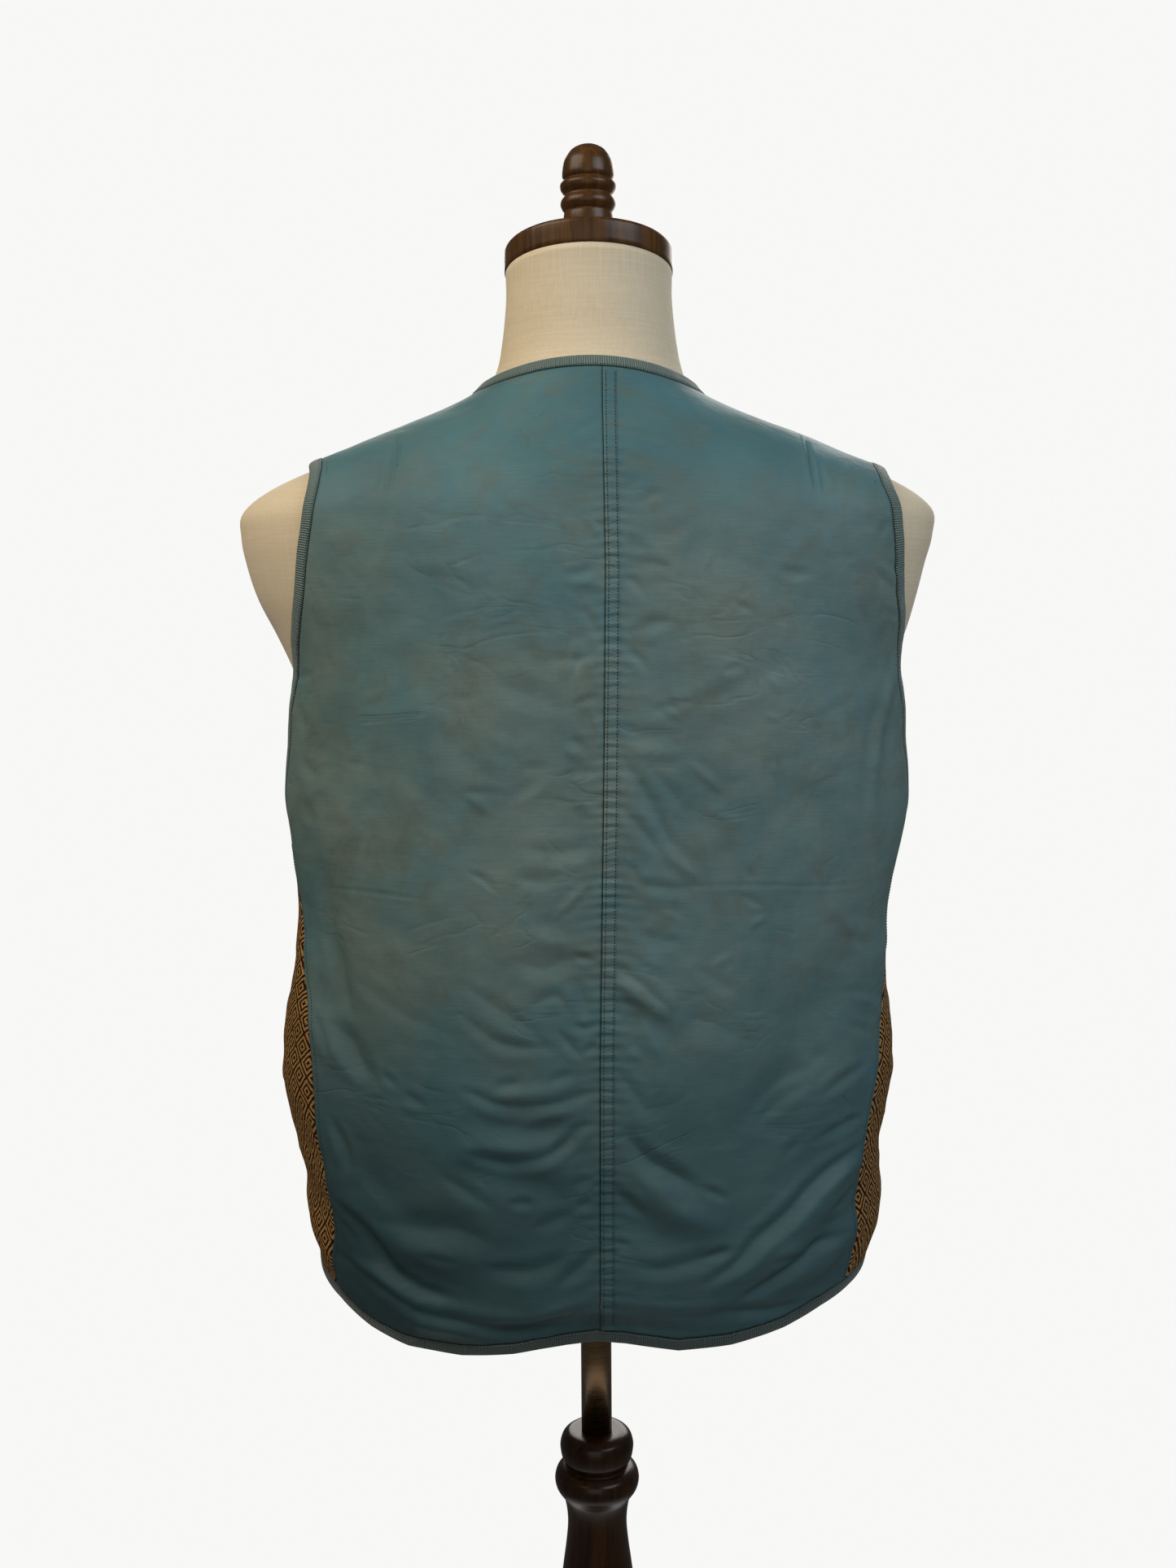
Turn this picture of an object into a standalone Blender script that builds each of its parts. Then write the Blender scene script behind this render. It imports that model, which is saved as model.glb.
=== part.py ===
"""A collarless liner vest with a satin back and figured fronts, worn on a dress form on a turned stand.

Metres, +Z up. The fronts face -Y and the wearer's left is +X. The stand rests on z = 0 and the finial's top
is at 1.6 m. Tables are in millimetres and degrees. Angles round the body start at the centre back and grow
towards the wearer's left, so that the left side is 90 and the centre front 180.
"""

import math

import bpy
import numpy as np

MM = 0.001

# Sizes of the cloth and its trim, in mm
BACK_WALL = 2.0
FRONT_WALL = 2.6
SEAM_GAP = 0.3
PANEL_GAP = 0.7
BINDING_GAP = 0.4
SEAT_GAP = 1.7
BINDING_WIDTH = 8.5
HEM_BINDING_WIDTH = 7.0
BINDING_PROUD = 0.5
STRIP_WIDTH = 8.5
STRIP_WALL = 0.8
STRIP_LIFT = 0.7
DART_LIFT = 1.2
DART_WIDTH = 3.2
DART_WALL = 1.2

# Sizes of the stand, in mm
POLE_RADIUS = 11.0
POLE_BOTTOM = 700.3
TORSO_BOTTOM = 838.0
TORSO_BOTTOM_ROUND = 10.0
NECK_LEAN_ABOVE = 1470.0
NECK_TILT = math.tan(math.radians(10.0))
NECK_TOP = 1515.1
CAP_THICKNESS = 16.4
CAP_HALF_WIDTH = 56.5
CAP_HALF_DEPTH = 54.6
CAP_ROUND = 5.0
FINIAL_LEAN_BELOW = 1552.0
BASE_RADIUS = 190.0
BASE_THICKNESS = 28.0
BASE_ROUND = 7.0
BASE_CHAMFER = 2.0

# Dress form sections: height, left, right, depth to the back, depth to the front, squareness
FORM = (
    (1515.1, 55.8, 55.8, 54.0, 54.0, 2.00),
    (1500.0, 55.6, 55.6, 54.5, 54.5, 2.00),
    (1485.0, 56.8, 56.8, 56.5, 56.0, 2.00),
    (1468.0, 59.0, 59.0, 60.0, 58.5, 2.00),
    (1455.0, 61.5, 61.5, 65.0, 61.0, 2.00),
    (1447.0, 64.5, 64.0, 70.0, 63.5, 2.00),
    (1439.0, 69.8, 68.0, 75.0, 66.0, 2.00),
    (1431.0, 78.5, 75.5, 79.5, 69.5, 2.00),
    (1422.0, 97.5, 94.0, 84.5, 73.5, 2.00),
    (1411.0, 125.0, 119.5, 90.0, 79.0, 2.03),
    (1400.0, 151.0, 147.0, 95.5, 85.0, 2.08),
    (1390.0, 175.5, 171.5, 100.0, 90.0, 2.14),
    (1381.0, 198.5, 195.0, 103.5, 94.5, 2.18),
    (1371.0, 219.0, 215.0, 107.0, 99.0, 2.22),
    (1358.0, 234.5, 230.5, 111.0, 104.0, 2.26),
    (1341.0, 236.0, 231.0, 114.5, 109.0, 2.30),
    (1322.0, 232.5, 226.0, 117.0, 113.0, 2.30),
    (1300.0, 225.5, 220.5, 118.5, 116.5, 2.30),
    (1276.0, 213.5, 213.5, 119.0, 118.5, 2.30),
    (1250.0, 202.0, 203.0, 118.5, 119.0, 2.30),
    (1215.0, 193.0, 193.0, 117.0, 118.0, 2.30),
    (1170.0, 186.0, 186.0, 114.0, 115.0, 2.30),
    (1115.0, 177.0, 177.0, 108.0, 110.0, 2.28),
    (1060.0, 168.0, 168.0, 102.0, 105.0, 2.25),
    (1005.0, 163.0, 163.0, 99.5, 102.0, 2.22),
    (950.0, 165.0, 165.0, 103.0, 102.0, 2.22),
    (900.0, 169.0, 169.0, 108.0, 102.0, 2.24),
    (865.0, 171.5, 171.5, 110.0, 101.0, 2.25),
    (845.0, 171.0, 171.0, 109.5, 99.5, 2.25),
    (790.0, 168.0, 168.0, 105.0, 95.0, 2.25),
)

# Vest sections below the shoulder blades: height, left, right, depth to the back, depth to the front,
# squareness
VEST = (
    (1330.0, 213.0, 218.0, 121.5, 119.5, 2.34),
    (1292.0, 210.0, 217.0, 124.0, 122.5, 2.36),
    (1258.0, 208.5, 215.5, 125.5, 124.5, 2.38),
    (1208.0, 208.0, 214.5, 126.5, 126.0, 2.40),
    (1157.0, 209.0, 215.5, 127.0, 127.0, 2.42),
    (1122.0, 205.5, 209.5, 127.5, 127.5, 2.42),
    (1088.0, 203.5, 204.0, 128.0, 128.0, 2.42),
    (1053.0, 206.0, 203.0, 129.0, 128.5, 2.42),
    (1018.0, 213.0, 204.5, 130.0, 129.0, 2.40),
    (983.0, 217.0, 208.0, 131.0, 129.5, 2.38),
    (947.0, 212.5, 202.5, 132.5, 130.0, 2.36),
    (929.0, 208.5, 199.5, 133.0, 130.2, 2.35),
    (911.0, 204.5, 200.5, 134.0, 130.5, 2.34),
    (875.0, 200.0, 199.5, 135.0, 131.0, 2.32),
    (839.0, 194.0, 189.5, 135.0, 131.0, 2.30),
    (790.0, 186.0, 179.5, 133.0, 130.0, 2.30),
)
REST_ABOVE = 1305.0
HANG_BELOW = 1225.0
PUSH_WIDTH = 2.0

# Centre back seam: height, how far to the wearer's right it lies
CENTRE_BACK = (
    (1460.0, 8.0),
    (1417.0, 8.3),
    (1315.0, 9.4),
    (1167.0, 6.9),
    (1013.0, 4.0),
    (853.0, 3.0),
    (790.0, 3.0),
)

# Armholes: height, degrees behind the side, degrees before the side
ARMHOLE_LEFT = (
    (1387.0, 0.0, 0.0),
    (1385.8, 6.5, 6.0),
    (1382.5, 13.0, 12.0),
    (1375.0, 19.4, 17.5),
    (1362.0, 23.0, 22.0),
    (1343.0, 23.9, 24.5),
    (1308.0, 22.3, 25.0),
    (1288.0, 19.8, 23.5),
    (1268.0, 16.4, 21.0),
    (1234.0, 12.3, 17.0),
    (1200.0, 10.0, 13.0),
    (1172.0, 7.0, 8.6),
    (1155.0, 3.3, 3.9),
    (1150.0, 0.0, 0.0),
)
ARMHOLE_RIGHT = (
    (1382.0, 0.0, 0.0),
    (1380.8, 6.0, 6.0),
    (1377.0, 12.0, 12.0),
    (1371.0, 16.0, 16.5),
    (1361.0, 18.6, 20.5),
    (1341.0, 19.1, 23.5),
    (1306.0, 16.9, 24.0),
    (1286.0, 14.2, 22.5),
    (1264.0, 11.8, 20.0),
    (1231.0, 10.6, 16.0),
    (1200.0, 8.9, 12.5),
    (1172.0, 6.2, 8.2),
    (1155.0, 3.0, 3.7),
    (1150.0, 0.0, 0.0),
)

# Side seams: height, degrees behind the side on the left and on the right
SIDE_SEAM = (
    (1150.0, 0.0, 0.0),
    (1125.0, 6.5, 3.2),
    (1098.0, 12.4, 6.2),
    (1060.0, 17.4, 10.6),
    (1027.0, 21.6, 15.8),
    (990.0, 23.8, 19.9),
    (955.0, 24.5, 21.9),
    (920.0, 24.8, 23.2),
    (890.0, 24.2, 24.3),
    (862.0, 23.0, 24.2),
    (836.0, 20.6, 24.4),
    (790.0, 17.0, 24.6),
)

# Front neckline and edge: height, distance from the centre front
FRONT_EDGE = (
    (1433.5, 74.0),
    (1426.0, 72.5),
    (1414.0, 69.0),
    (1392.0, 61.0),
    (1360.0, 49.0),
    (1320.0, 35.0),
    (1280.0, 21.5),
    (1250.0, 13.0),
    (1228.0, 9.8),
    (1208.0, 9.0),
    (1180.0, 9.0),
    (1130.0, 9.0),
    (1050.0, 9.0),
    (960.0, 9.0),
    (890.0, 9.0),
    (845.0, 9.0),
    (815.0, 9.0),
    (790.0, 9.0),
)

# Hem: angle from the centre back to either side, height on the left, height on the right
HEM = (
    (0.0, 830.0, 830.0),
    (8.0, 827.3, 828.0),
    (22.0, 820.5, 821.8),
    (35.0, 816.7, 823.0),
    (48.0, 817.0, 828.0),
    (58.0, 822.5, 835.0),
    (68.0, 831.5, 839.0),
    (90.0, 841.0, 842.0),
    (115.0, 830.0, 830.0),
    (145.0, 820.0, 820.0),
    (180.0, 814.0, 814.0),
)

# Back neck: height of the edge at the centre back and at the neck points
NECK_AT_BACK = 1449.4
NECK_AT_SIDE = 1438.8

# Large folds of the back: path as (towards the left, height), half width, rise
FOLDS = (
    (((178, 1135), (172, 1082), (167, 1040), (145, 981)), 15.0, -5.0),
    (((190, 975), (160, 915), (120, 888), (80, 882)), 13.0, 5.5),
    (((184, 925), (150, 868), (110, 842), (55, 832)), 12.0, 6.0),
    (((186, 880), (165, 850), (120, 828)), 10.0, 4.5),
    (((-182, 948), (-125, 890), (-70, 860)), 13.0, 6.5),
    (((-178, 892), (-145, 868), (-100, 850)), 10.0, 5.0),
    (((-150, 1065), (-129, 1013), (-108, 955)), 17.0, -4.0),
    (((-14, 945), (-50, 915), (-85, 902)), 11.0, 4.0),
    (((-14, 1066), (-50, 1040)), 9.0, 3.0),
    (((8, 986), (75, 986)), 9.0, 3.0),
    (((8, 940), (60, 958), (96, 952)), 10.0, 3.0),
)
FOLD_FOOT_DEPTH = 0.4
FOLD_FOOT_AWAY = 1.7
SIDE_FADE = 40.0

# Band above the hem binding: height of the band, depth of its recess, rise of the cloth that folds over it
BAND_HEIGHT = 20.0
BAND_DEPTH = 3.5
BAND_OVERHANG = 4.0
BAND_REACH = 42.0
BAND_SPREAD = 62.0
BAND_STEP = 1.8

# Turned profiles from the top down: height, radius
FINIAL = (
    (1600.0, 3.0),
    (1598.6, 8.0),
    (1592.5, 14.6),
    (1586.0, 16.8),
    (1580.0, 17.6),
    (1577.0, 17.2),
    (1573.7, 19.2),
    (1569.5, 18.6),
    (1567.0, 17.1),
    (1564.5, 17.6),
    (1561.0, 19.0),
    (1557.0, 18.3),
    (1552.0, 16.9),
    (1544.0, 17.2),
    (1532.1, 17.8),
)
COLUMN = (
    (700.0, 20.5),
    (696.5, 24.6),
    (687.0, 26.5),
    (678.0, 24.6),
    (674.5, 22.5),
    (671.5, 28.0),
    (664.0, 30.6),
    (656.0, 28.4),
    (649.5, 24.0),
    (640.0, 22.1),
    (628.0, 21.5),
    (612.0, 23.0),
    (597.0, 25.0),
    (560.0, 29.5),
    (510.0, 32.5),
    (450.0, 33.0),
    (370.0, 30.0),
    (280.0, 25.5),
    (200.0, 22.5),
    (150.0, 22.0),
    (128.0, 24.0),
    (112.0, 31.0),
    (100.0, 33.0),
    (88.0, 31.0),
    (76.0, 25.0),
    (62.0, 26.0),
    (46.0, 36.0),
    (36.0, 44.0),
    (28.3, 46.0),
)

# Shoulder darts of the back: path as (towards the left, height)
DARTS = (("dart_left", ((122.7, 1403.2), (121.5, 1391.0), (121.0, 1378.0))),
         ("dart_right", ((-136.5, 1399.7), (-137.5, 1389.0), (-138.0, 1377.5))))

# Counts of rows, columns and steps
SHOULDER_ROWS = 5
ARM_ROWS = 16
SIDE_ROWS = 17
FRONT_SIDE_ROWS = 15
BACK_COLUMNS = 18
FRONT_COLUMNS = 13
FORM_SEGMENTS = 36
TURNED_STEPS = 24
SPLINE_STEPS = 40
NECK_POINTS = 11

# Rows of the back above the hem, in mm, and how far its rows climb from the armhole to the centre seam
BAND_ROWS = (42.0, 29.0, 20.5, 15.5, 12.5, 9.5, 5.0, 0.0)
YOKE_RISE = 22.0

# Steps that the surfaces' slopes are taken over: radians and mm
STEP_ANGLE = 1e-4
STEP_HEIGHT = 1e-2


def smooth_rows(table, height):
    """The table's columns at each height, by cubic pieces whose slopes are those of the neighbouring rows."""
    rows = np.array(sorted(table), float)
    z, values = rows[:, 0], rows[:, 1:]
    slope = np.gradient(values, z, axis=0)
    height = np.clip(np.asarray(height, float), z[0], z[-1])
    k = np.clip(np.searchsorted(z, height, side="right") - 1, 0, len(z) - 2)
    span = (z[k + 1] - z[k])[..., None]
    t = ((height - z[k])[..., None]) / span
    low, high = values[k], values[k + 1]
    held = low * (1 + 2 * t) * (1 - t) ** 2 + high * (3 - 2 * t) * t**2
    return held + span * (slope[k] * t * (1 - t) ** 2 + slope[k + 1] * (t - 1) * t**2)


def ring_point(angle, height, left, right, back, front, square):
    """A point of a rounded section: |x / width| ** square + |y / depth| ** square = 1."""
    sine, cosine = np.sin(angle), np.cos(angle)
    width = np.where(sine >= 0, left, right)
    depth = np.where(cosine >= 0, back, front)
    radius = (np.abs(sine / width) ** square + np.abs(cosine / depth) ** square) ** (-1 / square)
    return np.stack([radius * sine, radius * cosine, height + 0 * angle], axis=-1)


def form_point(angle, height):
    return ring_point(angle, height, *np.moveaxis(smooth_rows(FORM, height), -1, 0))


def normal_of(surface, angle, height):
    """Outward unit normal, from the surface's own slopes."""
    across = surface(angle + STEP_ANGLE, height) - surface(angle - STEP_ANGLE, height)
    up = surface(angle, height + STEP_HEIGHT) - surface(angle, height - STEP_HEIGHT)
    normal = np.cross(up, across)
    return normal / np.linalg.norm(normal, axis=-1, keepdims=True)


def vest_base(angle, height):
    """The vest's outer side with no folds: it rests on the shoulders, and hangs by its own sections below."""
    rest = form_point(angle, height) + (SEAT_GAP + FRONT_WALL) * normal_of(form_point, angle, height)
    hang = ring_point(angle, height, *np.moveaxis(smooth_rows(VEST, height), -1, 0))
    t = np.clip((height - HANG_BELOW) / (REST_ABOVE - HANG_BELOW), 0, 1)
    weight = t * t * (3 - 2 * t)
    inside = np.linalg.norm(rest[..., :2], axis=-1) - np.linalg.norm(hang[..., :2], axis=-1)
    pushed = 1 / (1 + np.exp(-np.clip(inside / PUSH_WIDTH, -30, 30)))
    share = (weight + (1 - weight) * pushed)[..., None]
    return hang + share * (rest - hang)


def along_fold(x, z, path):
    """Signed distance from a fold's line, above it positive, and a weight that fades to its ends."""
    points = np.array(path, float)
    lengths = np.linalg.norm(np.diff(points, axis=0), axis=1)
    starts = np.concatenate([[0], np.cumsum(lengths)])
    nearest = np.full(x.shape, np.inf)
    signed = np.zeros(x.shape)
    place = np.zeros(x.shape)
    for start, end, length, before in zip(points[:-1], points[1:], lengths, starts):
        way = (end - start) / length
        t = np.clip((x - start[0]) * way[0] + (z - start[1]) * way[1], 0, length)
        dx, dz = x - start[0] - t * way[0], z - start[1] - t * way[1]
        distance = np.hypot(dx, dz)
        closer = distance < nearest
        nearest = np.where(closer, distance, nearest)
        signed = np.where(closer, np.where(dz < 0, -distance, distance), signed)
        place = np.where(closer, (before + t) / starts[-1], place)
    return signed, np.sin(np.pi * np.clip(place, 0.02, 0.98)) ** 0.6


def relief(angle, height):
    """How far the folds lift the cloth from its base, in mm."""
    place = vest_base(angle, height)
    x, z = place[..., 0], place[..., 2]
    rise = np.zeros(x.shape)
    for path, half_width, lift in FOLDS:
        distance, fade = along_fold(x, z, path)
        crest = np.exp(-((distance / half_width) ** 2))
        foot = np.exp(-((distance / half_width + FOLD_FOOT_AWAY) ** 2))
        rise += lift * fade * (crest - FOLD_FOOT_DEPTH * foot)
    above = z - hem_height(angle)
    spread = np.exp(-((x / BAND_SPREAD) ** 4) / 2)
    step = 1 / (1 + np.exp(-(above - BAND_HEIGHT) / BAND_STEP))
    decay = np.exp(-(np.maximum(above - BAND_HEIGHT, 0) / BAND_REACH) ** 2)
    rise += spread * (BAND_OVERHANG * step * decay - BAND_DEPTH * (1 - step))
    return rise * np.clip(place[..., 1] / SIDE_FADE, 0, 1)


def cloth(angle, height, out=0.0):
    """A point on the cloth's outer side, moved out of it by a distance."""
    angle, height = np.broadcast_arrays(np.asarray(angle, float), np.asarray(height, float))
    lift = (relief(angle, height) + out)[..., None]
    return vest_base(angle, height) + lift * normal_of(vest_base, angle, height)


def signed_angle(angle):
    return (angle + np.pi) % (2 * np.pi) - np.pi


def hem_height(angle):
    turn = np.degrees(np.abs(signed_angle(angle)))
    table = np.array(HEM)
    left = np.interp(turn, table[:, 0], table[:, 1])
    right = np.interp(turn, table[:, 0], table[:, 2])
    return np.where(signed_angle(angle) >= 0, left, right)


def centre_back(height):
    rows = np.array(sorted(CENTRE_BACK))
    away = np.interp(height, rows[:, 0], rows[:, 1])
    depth = vest_base(0 * height, height)[..., 1]
    return np.arctan2(-away, depth)


def turn_at(height, away, low, high):
    """The angle between two others at which the cloth lies this far to the wearer's left."""
    turns = np.linspace(low, high, 400)
    line = vest_base(turns, np.full(400, height))[:, 0]
    order = np.argsort(line)
    return np.interp(away, line[order], turns[order])


def spline(points, steps=SPLINE_STEPS):
    """A smooth line through the points, by Catmull-Rom pieces."""
    p = np.asarray(points, float)
    p = np.concatenate([2 * p[:1] - p[1:2], p, 2 * p[-1:] - p[-2:-1]])
    t = np.linspace(0, 1, steps, endpoint=False)[:, None]
    out = []
    for a, b, c, d in zip(p[:-3], p[1:-2], p[2:-1], p[3:]):
        square = (2 * a - 5 * b + 4 * c - d) * t**2
        cube = (3 * b - a - 3 * c + d) * t**3
        out.append(0.5 * (2 * b + (c - a) * t + square + cube))
    return np.concatenate(out + [p[-2:-1]])


def lengths_of(path):
    place = vest_base(path[:, 0], path[:, 1])
    return np.concatenate([[0], np.cumsum(np.linalg.norm(np.diff(place, axis=0), axis=1))])


def picks(path, shares):
    """The numbers of the path's points that lie nearest to these shares of its length."""
    length = lengths_of(path)
    return np.searchsorted(length, np.asarray(shares) * length[-1] * 0.999999)


def taken(path, shares):
    """The path at these shares of its length."""
    length = lengths_of(path)
    return np.stack([np.interp(np.asarray(shares) * length[-1], length, path[:, k]) for k in (0, 1)], axis=1)


def inset(path, width, side):
    """The path moved along the cloth, square to itself, to one hand or the other of its way."""
    angle, height = path[:, 0], path[:, 1]
    place = vest_base(angle, height)
    way = np.gradient(place, axis=0)
    if np.allclose(path[0], path[-1]):
        way[0] = way[-1] = place[1] - place[-2]
    way /= np.linalg.norm(way, axis=1, keepdims=True)
    square = side * width * np.cross(normal_of(vest_base, angle, height), way)
    turn = vest_base(angle + STEP_ANGLE, height) - vest_base(angle - STEP_ANGLE, height)
    climb = vest_base(angle, height + STEP_HEIGHT) - vest_base(angle, height - STEP_HEIGHT)
    slopes = np.stack([turn / (2 * STEP_ANGLE), climb / (2 * STEP_HEIGHT)], axis=2)
    flipped = np.swapaxes(slopes, 1, 2)
    move = np.linalg.solve(flipped @ slopes, flipped @ square[:, :, None])
    return path + move[:, :, 0]


def armhole(side):
    """The armhole's edge: from the shoulder down its back, under the arm and up its front."""
    rows = np.array(ARMHOLE_LEFT if side > 0 else ARMHOLE_RIGHT)
    behind = np.stack([np.pi / 2 - np.radians(rows[:, 1]), rows[:, 0]], axis=1)
    before = np.stack([np.pi / 2 + np.radians(rows[:, 2]), rows[:, 0]], axis=1)
    ring = np.concatenate([behind, before[-2::-1]])
    path = spline(np.concatenate([ring[-3:-1], ring, ring[1:3]]), SPLINE_STEPS)
    path = path[2 * SPLINE_STEPS : -2 * SPLINE_STEPS]
    return path * np.array([side, 1.0])


def neck_and_fronts():
    """The edge from the left front's hem up to the neck, round its back and down the right front."""
    half = [(np.pi / 2, NECK_AT_SIDE)]
    for height, away in FRONT_EDGE:
        half.append((turn_at(height, away, np.pi / 2, np.pi), height))
    turns = np.linspace(np.pi / 2, -np.pi / 2, NECK_POINTS + 2)[1:-1]
    back = np.stack([turns, NECK_AT_SIDE + (NECK_AT_BACK - NECK_AT_SIDE) * np.cos(turns) ** 2], axis=1)
    left = np.array(half[::-1])
    right = np.array(half) * np.array([-1.0, 1.0])
    return spline(np.concatenate([left, back, right]), SPLINE_STEPS)


def side_seam(side):
    rows = np.array(SIDE_SEAM)
    behind = np.radians(rows[:, 1 if side > 0 else 2])
    return spline(np.stack([side * (np.pi / 2 - behind), rows[:, 0]], axis=1))


def down_to_hem(path, above):
    """The path cut where it comes as near to the hem as the distance above it."""
    left = path[:, 1] - hem_height(path[:, 0]) - above
    last = int(np.argmax(left < 0))
    t = left[last - 1] / (left[last - 1] - left[last])
    return np.concatenate([path[:last], [path[last - 1] + t * (path[last] - path[last - 1])]])


def parted(path, way):
    """The path turned round the body by half a seam's gap."""
    radius = np.linalg.norm(vest_base(path[:, 0], path[:, 1])[:, :2], axis=1)
    return np.stack([path[:, 0] + way * PANEL_GAP / 2 / radius, path[:, 1]], axis=1)


def side_shares(path):
    """Row places on a line that ends at the hem: even above, and closer at the band over the hem."""
    length = lengths_of(path)[-1]
    even = np.linspace(0, length - BAND_ROWS[0], SIDE_ROWS + 1)
    return np.concatenate([even, length - np.array(BAND_ROWS[1:])]) / length


def patch(first, last, top, bottom):
    """Angles and heights of a panel between its two side lines, bent to its top and bottom lines."""
    u = np.linspace(0, 1, len(top))[None, :, None]
    v = np.linspace(0, 1, len(first))[:, None, None]
    grid = first[:, None] * (1 - u) + last[:, None] * u
    bend_top = top[None] - (top[0] * (1 - u) + top[-1] * u)
    bend_bottom = bottom[None] - (bottom[0] * (1 - u) + bottom[-1] * u)
    return grid + bend_top * (1 - v) ** 3 + bend_bottom * v**3


def add_object(name, points, faces, material):
    mesh = bpy.data.meshes.new(name)
    mesh.from_pydata((np.asarray(points) * MM).tolist(), [], faces)
    mesh.update()
    mesh.materials.append(material)
    item = bpy.data.objects.new(name, mesh)
    COLLECTION.objects.link(item)
    return item


def grid_faces(rows, columns, ring=False):
    """Quads over a grid of points, whose rows may close on themselves."""
    r, c = np.meshgrid(np.arange(rows if ring else rows - 1), np.arange(columns - 1), indexing="ij")
    r, c = r.ravel(), c.ravel()
    s = (r + 1) % rows
    return np.stack([r * columns + c, s * columns + c, s * columns + c + 1, r * columns + c + 1], axis=1)


def rim_faces(points, rows, columns, ring=False):
    """Triangles that close the edges between a grid of points and a second one after it.

    Each quad is cut from the outer point that stands higher, so that two pieces that meet at a seam are
    cut alike and stay apart.
    """
    number = np.arange(rows * columns).reshape(rows, columns)
    if ring:
        lines = [np.append(number[:, -1], number[0, -1]), np.append(number[:, 0], number[0, 0])[::-1]]
    else:
        lines = [np.concatenate([number[0], number[1:, -1], number[-1, -2::-1], number[-2::-1, 0]])]
    a = np.concatenate([line[:-1] for line in lines])
    b = np.concatenate([line[1:] for line in lines])
    c, d = b + rows * columns, a + rows * columns
    higher = (points[a, 2] > points[b, 2])[:, None]
    one = np.where(higher, np.stack([a, b, c], axis=1), np.stack([a, b, d], axis=1))
    two = np.where(higher, np.stack([a, c, d], axis=1), np.stack([b, c, d], axis=1))
    return np.concatenate([one, two])


def wall(name, grid, out, back, material, ring=False):
    """A sheet over a grid of angles and heights, between two distances from the cloth's outer side."""
    rows, columns = grid.shape[:2]
    outer = cloth(grid[..., 0], grid[..., 1], out)
    inner = cloth(grid[..., 0], grid[..., 1], back)
    m, n = rows // 2, columns // 2
    normal = np.cross(outer[m, n] - outer[m - 1, n], outer[m, n] - outer[m, n - 1])
    points = np.concatenate([outer.reshape(-1, 3), inner.reshape(-1, 3)])
    front = grid_faces(rows, columns, ring)
    rim = rim_faces(points, rows, columns, ring)
    if normal @ (outer[m, n] - inner[m, n]) < 0:
        front, rim = front[:, ::-1], rim[:, ::-1]
    faces = front.tolist() + (front[:, ::-1] + rows * columns).tolist() + rim.tolist()
    return add_object(name, points, faces, material)


def rings(name, loops, material):
    """A closed body through loops of points from the top down, with a flat face at each end."""
    loops = np.asarray(loops)
    count, around = loops.shape[:2]
    number = np.arange(count * around).reshape(count, around)
    after = np.roll(number, -1, axis=1)
    sides = np.stack([number[:-1], after[:-1], after[1:], number[1:]], axis=-1).reshape(-1, 4)
    faces = sides.tolist() + [number[0, ::-1].tolist(), number[-1].tolist()]
    return add_object(name, loops.reshape(-1, 3), faces, material)


def turned(name, profile, material, lean_below=None):
    """A lathe-turned piece. Where it stands on the slanting cap, its lowest rings lean as the cap does."""
    angle = np.linspace(0, 2 * np.pi, TURNED_STEPS, endpoint=False)
    loops = []
    for height, radius in profile:
        y = radius * np.cos(angle)
        lean = 0.0
        if lean_below is not None:
            lean = NECK_TILT * np.clip((lean_below - height) / (lean_below - profile[-1][0]), 0, 1)
        loops.append(np.stack([radius * np.sin(angle), y, height + lean * y], axis=1))
    return rings(name, loops, material)


def plain_material(name, colour, roughness, metallic=0.0):
    material = bpy.data.materials.new(name)
    material.use_nodes = True
    shader = material.node_tree.nodes["Principled BSDF"]
    shader.inputs["Base Color"].default_value = (*colour, 1.0)
    shader.inputs["Roughness"].default_value = roughness
    shader.inputs["Metallic"].default_value = metallic
    material.diffuse_color = (*colour, 1.0)
    return material


def back_panel(side, name):
    """Half of the back: centre seam, neck, shoulder seam, armhole, side seam and hem."""
    arm = ARM[side]["panel"][: ARM_ROWS + 1].copy()
    neck = NECK["panel"][BACK_NECK[side]][::-side].copy()
    seam = SEAM[side][SEAM[side][:, 1] < arm[-1, 1] - 1]
    seam = down_to_hem(np.concatenate([arm[-1:], seam]), HEM_INSET)
    neck[-1, 0] = arm[0, 0] = arm[-1, 0] = seam[0, 0] = side * np.pi / 2
    shoulder = np.linspace(neck[-1], arm[0], SHOULDER_ROWS + 1)
    last = np.concatenate([shoulder[:-1], arm[:-1], taken(seam, side_shares(seam))])
    low = hem_height(np.zeros(1))[0] + HEM_INSET
    heights = np.concatenate([
        np.linspace(neck[0, 1], arm[0, 1] + YOKE_RISE, SHOULDER_ROWS + 1)[:-1],
        np.linspace(arm[0, 1] + YOKE_RISE, arm[-1, 1], ARM_ROWS + 1)[:-1],
        arm[-1, 1] + (low - arm[-1, 1]) * side_shares(seam),
    ])
    first = np.stack([centre_back(heights), heights], axis=1)
    first, last = parted(first, side), parted(last, -side)
    turns = np.linspace(first[-1, 0], last[-1, 0], BACK_COLUMNS + 1)
    bottom = np.stack([turns, hem_height(turns) + HEM_INSET], axis=1)
    neck[0], neck[-1] = first[0], last[0]
    wall(name, patch(first, last, neck, bottom), 0.0, -BACK_WALL, SATIN)
    return first, bottom


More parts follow.
